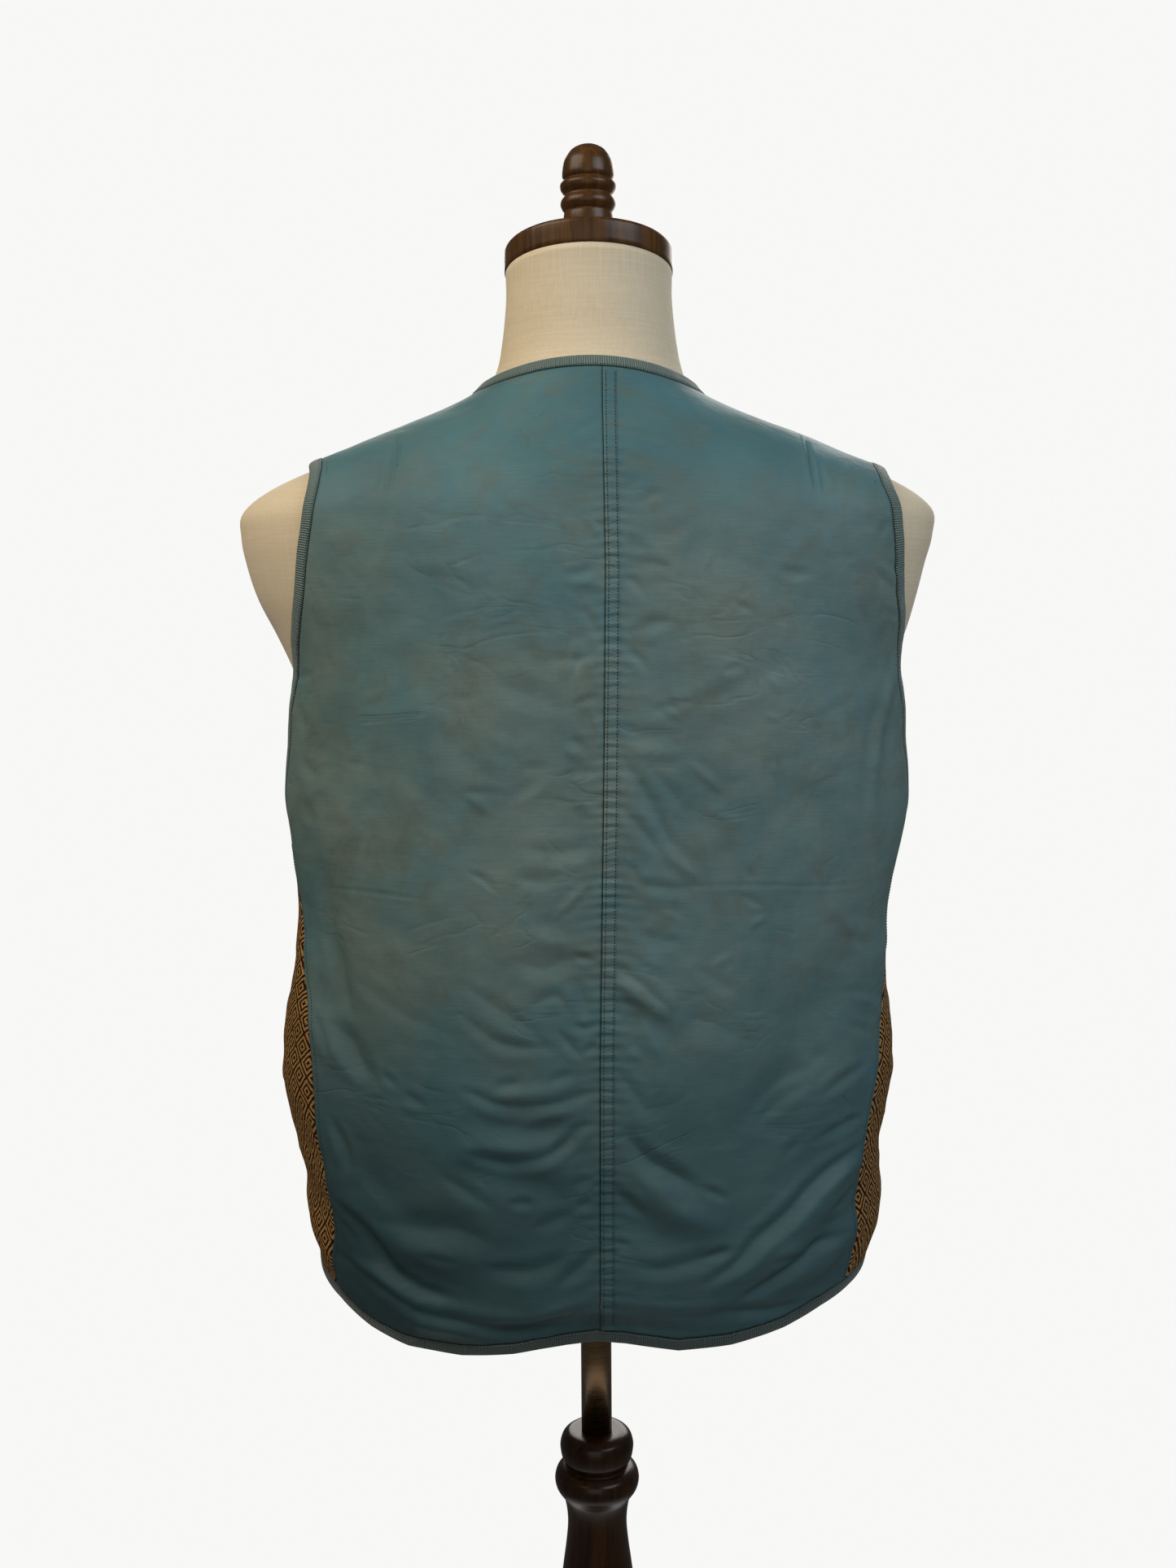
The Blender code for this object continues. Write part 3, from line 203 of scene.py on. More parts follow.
# Creases of the satin as read off the photo: path as (towards the left, height), half width, rise
CREASES = (
    (((121, 1401), (122, 1386), (124, 1362)), 1.7, -1.5),
    (((127, 1387), (130, 1364)), 2.6, -0.8),
    (((11, 1401), (3, 1404), (-5, 1407)), 2.6, -0.6),
    (((8, 1391), (-6, 1387)), 2.5, -0.4),
    (((2, 1351), (-2, 1341), (-7, 1334)), 2.6, 0.5),
    (((17, 1312), (5, 1314), (-3, 1319)), 3.2, -0.6),
    (((13, 1308), (2, 1308), (-6, 1306)), 3.6, 0.7),
    (((8, 1292), (2, 1288), (-4, 1275)), 3.2, -0.7),
    (((24, 1263), (9, 1261), (-6, 1268)), 3.6, -0.8),
    (((8, 1268), (9, 1259), (12, 1247)), 2.4, -0.7),
    (((59, 1247), (41, 1241), (20, 1232)), 7.0, -1.1),
    (((9, 1235), (4, 1237), (-4, 1239)), 2.5, -0.7),
    (((0, 1232), (-4, 1217), (-5, 1205)), 2.6, 0.6),
    (((14, 1214), (5, 1207)), 3.5, -0.7),
    (((49, 1172), (36, 1178), (27, 1187)), 4.0, 0.7),
    (((43, 1195), (27, 1196)), 3.5, -0.6),
    (((142, 1236), (129, 1243)), 3.0, 0.4),
    (((96, 1223), (81, 1206), (63, 1186)), 8.0, -0.7),
    (((77, 1177), (69, 1172), (61, 1166)), 3.0, 0.6),
    (((78, 1181), (54, 1179)), 3.0, -0.6),
    (((179, 1287), (176, 1268), (179, 1251)), 5.0, 0.9),
    (((191, 1232), (185, 1215)), 4.0, -1.1),
    (((188, 1197), (180, 1184)), 4.5, -1.2),
    (((187, 1171), (181, 1152)), 4.5, -1.1),
    (((194, 1249), (178, 1252)), 3.0, -0.6),
    (((29, 1423), (17, 1419), (7, 1414)), 5.0, -0.4),
    (((7, 1432), (-6, 1438)), 2.6, -0.5),
    (((85, 1238), (75, 1237)), 3.0, -0.5),
    (((113, 1317), (82, 1310), (53, 1301)), 4.0, -0.4),
    (((43, 1286), (29, 1267)), 5.0, 0.4),
    (((18, 1345), (10, 1321)), 4.0, -0.4),
    (((64, 1215), (44, 1205)), 4.0, 0.4),
    (((156, 1197), (141, 1195)), 3.0, -0.4),
    (((17, 1207), (4, 1200)), 3.2, 0.5),
    (((19, 1190), (6, 1193), (-4, 1191)), 3.4, -0.6),
    (((12, 1175), (-3, 1167)), 4.0, 0.6),
    (((-137, 1399), (-138, 1386), (-140, 1362)), 1.7, -1.5),
    (((-143, 1384), (-146, 1362)), 2.6, -0.8),
    (((-31, 1356), (-38, 1361), (-45, 1361)), 3.0, -0.7),
    (((-30, 1338), (-47, 1337), (-60, 1345)), 5.0, -0.7),
    (((-25, 1318), (-37, 1319), (-49, 1316)), 3.2, -0.7),
    (((-21, 1311), (-26, 1308), (-32, 1301)), 3.0, -0.7),
    (((-25, 1278), (-36, 1282), (-50, 1284)), 4.0, -0.9),
    (((-20, 1267), (-28, 1263), (-34, 1254)), 3.0, -0.9),
    (((-44, 1232), (-53, 1225)), 2.4, 0.6),
    (((-36, 1229), (-62, 1236)), 3.0, -0.5),
    (((-20, 1221), (-32, 1215), (-52, 1216)), 4.6, -0.9),
    (((-23, 1207), (-36, 1203), (-55, 1204)), 4.0, 0.7),
    (((-60, 1197), (-69, 1190), (-80, 1179)), 3.0, 0.7),
    (((-18, 1201), (-29, 1185), (-36, 1172), (-42, 1158)), 4.6, -1.2),
    (((-36, 1192), (-46, 1183), (-56, 1168)), 4.0, -0.7),
    (((-59, 1228), (-89, 1244), (-126, 1257)), 6.0, -0.6),
    (((-110, 1249), (-118, 1240)), 2.6, 0.5),
    (((-108, 1226), (-116, 1223)), 2.5, 0.5),
    (((-79, 1253), (-94, 1257)), 2.6, -0.6),
    (((-88, 1295), (-100, 1290)), 2.6, -0.5),
    (((-69, 1315), (-74, 1326)), 2.0, 0.4),
    (((-203, 1264), (-197, 1247), (-188, 1221), (-183, 1196), (-180, 1170), (-180, 1152)), 4.0, 1.4),
    (((-184, 1301), (-183, 1263)), 4.0, 0.6),
    (((-178, 1316), (-187, 1309), (-197, 1300)), 3.0, -0.8),
    (((-187, 1321), (-201, 1314)), 2.8, -0.6),
    (((-186, 1290), (-199, 1286)), 2.8, -0.6),
    (((-19, 1333), (-35, 1329)), 3.0, -0.6),
    (((-21, 1385), (-33, 1380)), 3.0, -0.5),
    (((-23, 1417), (-38, 1411)), 3.0, -0.4),
    (((-25, 1401), (-43, 1395)), 3.0, -0.4),
    (((-20, 1365), (-30, 1370)), 3.4, -0.5),
    (((-66, 1171), (-89, 1161)), 5.0, 0.5),
    (((-107, 1195), (-131, 1200)), 4.0, -0.4),
    (((-144, 1225), (-166, 1234)), 4.0, -0.4),
    (((-114, 1315), (-138, 1312)), 3.2, -0.5),
    (((-171, 1356), (-184, 1341)), 4.0, 0.5),
    (((-188, 1346), (-180, 1332)), 3.0, -0.5),
    (((178, 1113), (144, 1115), (101, 1112)), 1.5, -0.3),
    (((77, 1131), (67, 1124), (58, 1115)), 3.0, -0.6),
    (((76, 1128), (66, 1121), (57, 1114)), 2.2, 0.5),
    (((44, 1145), (19, 1143), (-1, 1147)), 5.0, -1.0),
    (((2, 1124), (13, 1113), (24, 1103)), 2.6, 0.7),
    (((48, 1128), (32, 1125), (19, 1129)), 4.0, -0.7),
    (((41, 1091), (29, 1088), (17, 1086)), 6.0, 1.0),
    (((48, 1076), (31, 1070), (17, 1076), (2, 1076)), 5.5, -1.1),
    (((12, 1079), (-1, 1075)), 2.6, -0.8),
    (((10, 1062), (6, 1049), (4, 1041)), 4.0, -1.0),
    (((13, 1036), (6, 1032), (-2, 1036)), 3.0, -0.9),
    (((36, 1049), (24, 1053), (17, 1046)), 3.8, -0.9),
    (((82, 1060), (61, 1046), (40, 1032), (28, 1018)), 4.2, -0.7),
    (((83, 1040), (57, 1023), (26, 1020)), 4.0, -1.0),
    (((22, 1031), (15, 1022), (8, 1014)), 3.0, -0.9),
    (((5, 1018), (-2, 1023)), 2.6, -0.8),
    (((80, 992), (55, 984), (24, 986), (-1, 993)), 4.6, -2.2),
    (((27, 954), (16, 963), (9, 970), (1, 973)), 3.6, -1.4),
    (((79, 952), (54, 948), (31, 952), (15, 961)), 4.2, -2.1),
    (((96, 936), (80, 927), (66, 919)), 4.0, -1.0),
    (((54, 921), (38, 922)), 3.0, -0.9),
    (((14, 934), (1, 937)), 3.0, -0.8),
    (((12, 920), (1, 923)), 3.0, -1.1),
    (((38, 906), (15, 916)), 4.0, -0.9),
    (((169, 868), (141, 859), (114, 846), (86, 842), (59, 839), (35, 841), (17, 850), (0, 857)), 4.6, -2.5),
    (((177, 914), (162, 904), (147, 892), (131, 870), (113, 860), (89, 856)), 4.4, -2.0),
    (((139, 903), (110, 900), (88, 902), (65, 894)), 9.0, -2.2),
    (((168, 962), (161, 946), (158, 933)), 3.0, -1.5),
    (((173, 962), (167, 946), (163, 929)), 3.0, 0.7),
    (((174, 1026), (160, 1017), (151, 1003), (141, 995)), 6.0, -2.0),
    (((177, 1016), (164, 1001), (151, 987)), 6.0, 1.1),
    (((182, 1030), (176, 1016), (172, 1004)), 3.0, -1.1),
    (((173, 1085), (168, 1059), (160, 1036)), 5.5, -1.8),
    (((182, 1080), (176, 1066), (173, 1048)), 4.0, 1.0),
    (((185, 1157), (181, 1130), (177, 1103), (172, 1082)), 6.5, -1.6),
    (((23, 870), (9, 882), (-1, 893)), 4.0, -1.3),
    (((156, 1059), (118, 1037), (86, 1026)), 5.0, -0.5),
    (((120, 988), (107, 981)), 3.6, -0.9),
    (((135, 999), (126, 992)), 3.2, -0.9),
    (((156, 931), (137, 912), (120, 904)), 5.0, 0.6),
    (((46, 970), (32, 977), (16, 980)), 4.0, 0.7),
    (((66, 993), (46, 999)), 3.5, -0.8),
    (((68, 878), (42, 878), (21, 887)), 5.0, -1.3),
    (((28, 999), (13, 1005)), 3.2, -0.7),
    (((167, 893), (160, 890), (155, 882)), 3.0, -0.8),
    (((156, 871), (138, 864), (122, 855)), 3.6, 0.8),
    (((110, 884), (89, 881)), 3.0, -0.8),
    (((-28, 1121), (-66, 1121), (-105, 1120), (-139, 1117), (-162, 1116), (-196, 1114)), 1.5, -0.3),
    (((-20, 1168), (-31, 1155), (-42, 1143)), 4.2, -1.1),
    (((-42, 1165), (-46, 1151), (-53, 1146)), 3.6, -0.9),
    (((-45, 1142), (-56, 1133), (-67, 1124)), 4.0, 1.0),
    (((-27, 1123), (-46, 1120), (-62, 1118)), 3.8, -0.9),
    (((-23, 1135), (-30, 1121)), 3.0, -0.7),
    (((-30, 1091), (-41, 1088), (-53, 1086)), 4.6, -1.0),
    (((-27, 1079), (-43, 1070)), 4.6, 1.0),
    (((-42, 1106), (-54, 1098)), 4.0, 0.7),
    (((-13, 1071), (-26, 1063), (-36, 1054), (-47, 1044)), 4.0, -1.8),
    (((-29, 1037), (-37, 1022), (-40, 1014)), 5.5, 1.4),
    (((-15, 1005), (-25, 991), (-31, 981)), 3.8, -0.9),
    (((-22, 978), (-38, 967)), 6.5, 1.2),
    (((-20, 964), (-33, 949), (-45, 941), (-62, 931)), 5.4, -2.3),
    (((-26, 940), (-45, 923), (-64, 908)), 9.0, 1.4),
    (((-12, 931), (-22, 921), (-31, 913)), 3.8, -1.3),
    (((-12, 897), (-22, 894)), 3.0, -1.0),
    (((-21, 882), (-40, 879), (-58, 882), (-87, 888)), 4.6, -1.5),
    (((-70, 869), (-89, 880), (-101, 892), (-119, 905), (-136, 920), (-153, 932), (-176, 942)), 4.4, -2.8),
    (((-86, 851), (-106, 861), (-122, 869), (-133, 875), (-144, 882), (-164, 883)), 3.8, -2.4),
    (((-111, 877), (-131, 879)), 3.0, -1.4),
    (((-104, 969), (-118, 980), (-136, 989)), 3.6, -0.9),
    (((-99, 977), (-118, 993), (-141, 1001)), 8.5, -1.5),
    (((-145, 981), (-160, 989), (-177, 995)), 3.8, -1.5),
    (((-142, 952), (-164, 958), (-177, 960)), 3.6, -1.5),
    (((-139, 1008), (-149, 1004)), 5.5, -0.9),
    (((-169, 1044), (-187, 1027), (-183, 1016)), 4.6, 1.0),
    (((-7, 856), (-30, 850), (-61, 846), (-87, 846), (-114, 843), (-144, 840)), 4.0, -2.0),
    (((-67, 930), (-83, 921)), 3.0, -1.0),
    (((-69, 884), (-85, 889)), 3.0, -1.1),
    (((-75, 1071), (-86, 1077)), 2.6, 0.5),
    (((-93, 1114), (-106, 1107)), 2.6, -0.6),
    (((-98, 1094), (-108, 1100)), 2.4, 0.6),
    (((-92, 1136), (-101, 1121)), 3.0, -0.4),
    (((-64, 1069), (-76, 1062), (-88, 1054)), 4.0, -0.6),
    (((-56, 1042), (-76, 1033), (-98, 1020)), 8.0, -1.0),
    (((-154, 1120), (-146, 1084), (-133, 1057)), 14.0, 1.2),
    (((-147, 917), (-165, 928), (-178, 929)), 5.0, 1.0),
    (((-108, 872), (-127, 885), (-144, 892)), 4.5, 0.9),
    (((-19, 1050), (-27, 1045)), 3.4, -0.8),
    (((-20, 1019), (-28, 1014)), 3.4, 0.7),
    (((-153, 901), (-165, 908), (-173, 914)), 3.4, -0.9),
    (((-165, 1023), (-184, 1013)), 3.0, -0.8),
    (((-163, 1047), (-184, 1038)), 3.0, -0.7),
    (((-157, 1083), (-186, 1071)), 4.2, -0.6),
    (((-121, 945), (-132, 954)), 3.6, -0.9),
    (((-163, 1098), (-192, 1086)), 5.0, -0.7),
)
CREASE_BANK = 0.45
CREASE_BANK_AWAY = 1.8

# Turned profiles from the top down: height, radius
FINIAL = (
    (1600.0, 0.6), (1599.4, 5.0), (1598.0, 8.6), (1595.2, 12.4), (1590.0, 15.8), (1585.0, 17.1), (1580.0, 17.6),
    (1577.8, 17.0), (1576.9, 16.3), (1576.0, 17.2), (1573.7, 18.9), (1570.6, 18.7), (1568.2, 17.3), (1566.8, 16.5),
    (1565.4, 17.0), (1563.2, 18.4), (1560.2, 18.7), (1557.4, 17.5), (1555.6, 16.5), (1552.0, 16.9), (1544.0, 17.2),
    (1532.1, 17.8),
)
COLUMN = (
    (700.0, 12.0), (700.0, 18.0), (699.0, 21.5), (696.0, 24.7), (691.0, 26.4), (687.0, 26.5), (681.0, 25.4),
    (676.5, 23.2), (674.5, 22.5), (673.2, 25.5), (670.0, 29.0), (664.0, 30.6), (658.0, 29.4), (653.0, 26.2),
    (649.5, 24.0), (640.0, 22.1), (628.0, 21.5), (612.0, 23.0), (597.0, 25.0), (560.0, 29.5), (510.0, 32.5),
    (450.0, 33.0), (370.0, 30.0), (280.0, 25.5), (200.0, 22.5), (150.0, 22.0), (128.0, 24.0), (112.0, 31.0),
    (100.0, 33.0), (88.0, 31.0), (76.0, 25.0), (62.0, 26.0), (46.0, 36.0), (36.0, 44.0), (28.3, 46.0),
)

# Shoulder darts of the back: path as (towards the left, height)
DARTS = {
    "dart_left": ((122.7, 1403.2), (121.5, 1391.0), (121.0, 1378.0)),
    "dart_right": ((-136.5, 1399.7), (-137.5, 1389.0), (-138.0, 1377.5)),
}

# Band above the hem binding: its height, its recess and the rise of the cloth that folds over it
BAND_HEIGHT = 20.0
BAND_DEPTH = 3.5
BAND_OVERHANG = 4.0
BAND_REACH = 42.0
BAND_SPREAD = 62.0
BAND_STEP = 1.8

# Puckers beside the centre back seam: spacing, depth and how far they reach from the strip
PUCKER_SPACING = 7.2
PUCKER_DEPTH = 0.42
PUCKER_REACH = 8.0
SEAM_DIP = 0.22
SEAM_DIP_WIDTH = 0.6

# Soft waves of the cloth: rise, how far a wave slants, size and random seed
SATIN_WAVES = (
    (1.3, 0.0, 0.0, 74.0, 1),
    (0.7, 0.5, -0.4, 33.0, 2),
    (0.20, 0.8, -0.7, 13.0, 3),
    (0.06, 0.0, 0.0, 7.0, 4),
)
SIDE_WAVES = ((1.5, 0.45, 0.35, 27.0, 11), (0.7, 0.6, 0.0, 11.0, 12))
SIDE_WAVES_AWAY = (150.0, 185.0)
SIDE_WAVES_HEIGHT = (1140.0, 1080.0)
FRONT_WAVES_HEIGHT = (1310.0, 1220.0)
FRONT_WAVES_AWAY = (14.0, 54.0)
QUIET_AT_HEM = 30.0
QUIET_AT_NECK = 25.0
SATIN_QUIET_AT_HEM = 14.0
DRAG_REACH = 42.0
GATHER_HEIGHT = 16.0

# Seam strip: how far it stands up, its crown, its two stitched grooves, and the ridges that the stitches draw in
STRIP_LIFT = 0.55
STRIP_CROWN = 0.35
STRIP_SHARES = (0.0, 0.03, 0.08, 0.16, 0.26, 0.38, 0.5, 0.62, 0.74, 0.84, 0.92, 0.97, 1.0)
GROOVES_AWAY = (1.9, 7.6)
GROOVE_DEPTH = 0.34
GROOVE_WIDTH = 0.40
RIDGE_SPACING = 3.6

# Stitches: how far each row lies from its seam or edge, and how high over the cloth's side
STRIP_STITCHES_AWAY = (1.9, 7.7)
STRIP_STITCHES_RISE = (0.80, 0.70)
SIDE_STITCHES_AWAY = 4.5
SIDE_STITCHES_RISE = 0.10
TAPE_STITCHES_SHARE = 0.1
TAPE_STITCHES_RISE = 0.42

# Floor and lights of the studio
FLOOR_RADII = (0.0, 250.0, 500.0, 720.0)
FLOOR_DROP = 0.4
LIGHTS_AIM = Vector((0.0, 0.0, 1.25))

# Camera: distance behind the stand's axis, height, pitch, roll, offset of the axis in pixels, lens
CAMERA_BACK = 1068.7
CAMERA_HEIGHT = 1286.0
CAMERA_PITCH = 6.1
CAMERA_ROLL = 0.00684
CAMERA_AXIS_PIXELS = 5.3
PHOTO_SIZE = (1445, 1927)
FOCAL_PIXELS = 1900.0
SENSOR = 36.0

# How finely lines and panels are divided
BACK_WIDTH, BACK_SPACING = 225.0, 1.4
FRONT_WIDTH, FRONT_SPACING = 215.0, 2.4
FRONT_ARM_ROWS, FRONT_SEAM_ROWS = 130, 160
SHOULDER_SHARE, ARM_SHARE = 26, 178
ROW_SPACING = 1.45
YOKE_RISE = 22.0
PANEL_GAP = 0.25
STRIP_ROWS, STITCH_ROWS = 1000, 700
ARMHOLE_STEPS, NECK_STEPS, HEM_STEPS = 460, 1500, 900
FORM_SIDES, FORM_RINGS = 144, 210
FLOOR_SIDES = 96
STEP_ANGLE = 1e-4
STEP_HEIGHT = 1e-2
WAY_STEP = 0.6
SPLINE_STEPS = 40


def smooth_rows(table, height):
    """The table's columns at each height, by cubic pieces whose slopes are those of the neighbouring rows."""
    rows = np.array(sorted(table), float)
    z, values = rows[:, 0], rows[:, 1:]
    slope = np.gradient(values, z, axis=0)
    height = np.clip(np.asarray(height, float), z[0], z[-1])
    k = np.clip(np.searchsorted(z, height, side="right") - 1, 0, len(z) - 2)
    span = (z[k + 1] - z[k])[..., None]
    t = ((height - z[k])[..., None]) / span
    low, high = values[k], values[k + 1]
    held = low * (1 + 2 * t) * (1 - t) ** 2 + high * (3 - 2 * t) * t**2
    return held + span * (slope[k] * t * (1 - t) ** 2 + slope[k + 1] * (t - 1) * t**2)


def ring_point(angle, height, left, right, back, front, square):
    """A point of a rounded section: |x / width| ** square + |y / depth| ** square = 1."""
    sine, cosine = np.sin(angle), np.cos(angle)
    width = np.where(sine >= 0, left, right)
    depth = np.where(cosine >= 0, back, front)
    radius = (np.abs(sine / width) ** square + np.abs(cosine / depth) ** square) ** (-1 / square)
    return np.stack([radius * sine, radius * cosine, height + 0 * angle], axis=-1)


def form_point(angle, height):
    """A point of the dress form, whose section at each height comes from the FORM table."""
    return ring_point(angle, height, *np.moveaxis(smooth_rows(FORM, height), -1, 0))


def normal_of(surface, angle, height):
    """Outward unit normal, from the surface's own slopes."""
    across = surface(angle + STEP_ANGLE, height) - surface(angle - STEP_ANGLE, height)
    up = surface(angle, height + STEP_HEIGHT) - surface(angle, height - STEP_HEIGHT)
    normal = np.cross(up, across)
    return normal / np.linalg.norm(normal, axis=-1, keepdims=True)


def vest_base(angle, height):
    """The vest's outer side with no folds: it rests on the shoulders, and hangs by its own sections below."""
    rest = form_point(angle, height) + (SEAT_GAP + FRONT_WALL) * normal_of(form_point, angle, height)
    hang = ring_point(angle, height, *np.moveaxis(smooth_rows(VEST, height), -1, 0))
    t = np.clip((height - HANG_BELOW) / (REST_ABOVE - HANG_BELOW), 0, 1)
    weight = t * t * (3 - 2 * t)
    inside = np.linalg.norm(rest[..., :2], axis=-1) - np.linalg.norm(hang[..., :2], axis=-1)
    pushed = 1 / (1 + np.exp(-np.clip(inside / PUSH_WIDTH, -30, 30)))
    share = (weight + (1 - weight) * pushed)[..., None]
    return hang + share * (rest - hang)


def run_of(points, axis=0):
    """Distance along each row of a net of points, from its first to each of its points."""
    steps = np.linalg.norm(np.diff(points, axis=axis), axis=-1)
    return np.insert(np.cumsum(steps, axis=axis), 0, 0.0, axis=axis)


def read_at(at, length, path):
    """The angles and heights of a path at these distances along it."""
    return np.stack([np.interp(at, length, path[:, k]) for k in (0, 1)], axis=1)


def along_fold(x, z, path):
    """Signed distance from a fold's line, above it positive, and a weight that fades to its ends."""
    points = np.array(path, float)
    starts = run_of(points)
    nearest = np.full(x.shape, np.inf)
    signed = np.zeros(x.shape)
    place = np.zeros(x.shape)
    for start, end, length, before in zip(points[:-1], points[1:], np.diff(starts), starts):
        way = (end - start) / length
        t = np.clip((x - start[0]) * way[0] + (z - start[1]) * way[1], 0, length)
        dx, dz = x - start[0] - t * way[0], z - start[1] - t * way[1]
        distance = np.hypot(dx, dz)
        closer = distance < nearest
        nearest = np.where(closer, distance, nearest)
        signed = np.where(closer, np.where(dz < 0, -distance, distance), signed)
        place = np.where(closer, (before + t) / starts[-1], place)
    return signed, np.sin(np.pi * np.clip(place, 0.02, 0.98)) ** 0.6


def soft_noise(x, y, size, seed):
    """Smooth noise from -1 to 1: random heights on a square net of this size, joined by eased slopes."""
    table = np.random.default_rng(seed).uniform(-1, 1, (64, 64))
    u, v = x / size, y / size
    i, j = np.floor(u).astype(int), np.floor(v).astype(int)
    fu, fv = u - i, v - j
    fu, fv = fu * fu * (3 - 2 * fu), fv * fv * (3 - 2 * fv)
    low = table[i % 64, j % 64] * (1 - fu) + table[(i + 1) % 64, j % 64] * fu
    high = table[i % 64, (j + 1) % 64] * (1 - fu) + table[(i + 1) % 64, (j + 1) % 64] * fu
    return low * (1 - fv) + high * fv


def signed_angle(angle):
    """The angle brought between minus and plus half a turn."""
    return (angle + np.pi) % (2 * np.pi) - np.pi


def hem_height(angle):
    """Height of the vest's lower edge at an angle round the body."""
    turn = np.degrees(np.abs(signed_angle(angle)))
    table = np.array(HEM)
    left = np.interp(turn, table[:, 0], table[:, 1])
    right = np.interp(turn, table[:, 0], table[:, 2])
    return np.where(signed_angle(angle) >= 0, left, right)


def seam_away(height):
    """How far to the wearer's right the centre back seam lies at a height."""
    rows = np.array(sorted(CENTRE_BACK))
    return np.interp(height, rows[:, 0], rows[:, 1])


def centre_back(height):
    """The angle of the centre back seam at a height."""
    depth = vest_base(0 * height, height)[..., 1]
    return np.arctan2(-seam_away(height), depth)


def folds_rise(x, z):
    """Sum of the folds, each a rounded crest beside a shallow foot that fades to its ends."""
    rise = np.zeros(x.shape)
    for path, half_width, lift in FOLDS:
        distance, fade = along_fold(x, z, path)
        crest = np.exp(-((distance / half_width) ** 2))
        foot = np.exp(-((distance / half_width + FOLD_FOOT_AWAY) ** 2))
        rise += lift * fade * (crest - FOLD_FOOT_DEPTH * foot)
    return rise


def creases_rise(x, z):
    """Sum of the creases, each a narrow groove or ridge between two low banks, finer towards its ends.

    Rise: lift * (exp(-d ** 1.5) - bank * exp(-(d - bank's place) ** 2)), where d is the distance in half widths.
    """
    rise = np.zeros(x.shape)
    for path, half_width, lift in CREASES:
        line = spline(path, 4) if len(path) > 2 else np.array(path, float)
        reach = 3.6 * half_width
        low, high = line.min(axis=0) - reach, line.max(axis=0) + reach
        near = (x > low[0]) & (x < high[0]) & (z > low[1]) & (z < high[1])
        distance, fade = along_fold(x[near], z[near], line)
        away = np.abs(distance) / (half_width * (0.6 + 0.4 * fade))
        bank = CREASE_BANK * np.exp(-((away - CREASE_BANK_AWAY) ** 2))
        rise[near] += lift * fade * (np.exp(-(away**1.5)) - bank)
    return rise


def satin_rise(x, z, above):
    """Creases, seam puckers and soft waves of the satin, in mm, at places on the back."""
    beside = x + seam_away(z)
    away = np.maximum(np.maximum(-beside - STRIP_WIDTH, beside), 0.0)
    phase = 2 * np.pi * (z + 2.2 * soft_noise(x * 0.15, z, 23.0, 5)) / PUCKER_SPACING
    pull = 0.65 + 0.35 * soft_noise(x * 0.1, z, 31.0, 6)
    pucker = PUCKER_DEPTH * pull * np.sin(phase + 0.12 * away) * np.exp(-away / PUCKER_REACH)
    dip = -SEAM_DIP * np.exp(-((beside / SEAM_DIP_WIDTH) ** 2))
    drag = 0.35 * soft_noise(x * 0.35 + z * 0.55, z - x * 0.3, 15.0, 7) * np.exp(-np.abs(beside) / DRAG_REACH)
    gather = 0.8 * np.exp(-((above / GATHER_HEIGHT) ** 2)) * soft_noise(x, z * 0.25, 6.5, 8)
    waves = sum(lift * soft_noise(x + lean * z, z + sink * x, size, seed)
                for lift, lean, sink, size, seed in SATIN_WAVES)
    return creases_rise(x, z) + pucker + dip + drag + waves + gather


def between(value, start, end):
    """How far a value has come from a start to an end, from 0 to 1."""
    return np.clip((value - start) / (end - start), 0, 1)


def relief(angle, height):
    """How far folds, creases and the band over the hem lift the cloth from its base, in mm."""
    place = vest_base(angle, height)
    x, z = place[..., 0], place[..., 2]
    above = z - hem_height(angle)
    rise = folds_rise(x, z)
    spread = np.exp(-((x / BAND_SPREAD) ** 4) / 2)
    step = 1 / (1 + np.exp(-(above - BAND_HEIGHT) / BAND_STEP))
    decay = np.exp(-((np.maximum(above - BAND_HEIGHT, 0) / BAND_REACH) ** 2))
    rise += spread * (BAND_OVERHANG * step * decay - BAND_DEPTH * (1 - step))
    y = place[..., 1]
    quiet = between(above, 0, SATIN_QUIET_AT_HEM) * between(z, NECK_AT_BACK, NECK_AT_BACK - QUIET_AT_NECK)
    back = (rise + satin_rise(x, z, above) * quiet) * between(y, 0, SIDE_FADE)
    # Below the armholes the seams draw both cloths into shallow waves at the sides.
    hem = between(above, 0, QUIET_AT_HEM)
    side = between(np.abs(x), *SIDE_WAVES_AWAY) * between(z, *SIDE_WAVES_HEIGHT) * hem
    waves = sum(lift * soft_noise(y * wide, z + lean * y, size, seed) for lift, wide, lean, size, seed in SIDE_WAVES)
    # The fronts hang in broad shallow waves below the chest.
    front = between(-y, 0, SIDE_FADE) * between(z, *FRONT_WAVES_HEIGHT) * hem * between(np.abs(x), *FRONT_WAVES_AWAY)
    hang = 1.1 + 1.1 * soft_noise(x * 1.2, z * 0.45, 48.0, 13) + 0.25 * soft_noise(x, z, 19.0, 14)
    return back + waves * side + hang * front


def cloth(angle, height, out=0.0):
    """A point on the cloth's outer side, moved out of it by a distance."""
    angle, height = np.broadcast_arrays(np.asarray(angle, float), np.asarray(height, float))
    lift = (relief(angle, height) + out)[..., None]
    return vest_base(angle, height) + lift * normal_of(vest_base, angle, height)


def turn_at(height, away, low, high):
    """The angle between two others at which the cloth lies this far to the wearer's left."""
    turns = np.linspace(low, high, 400)
    line = vest_base(turns, np.full(400, height))[:, 0]
    order = np.argsort(line)
    return np.interp(away, line[order], turns[order])


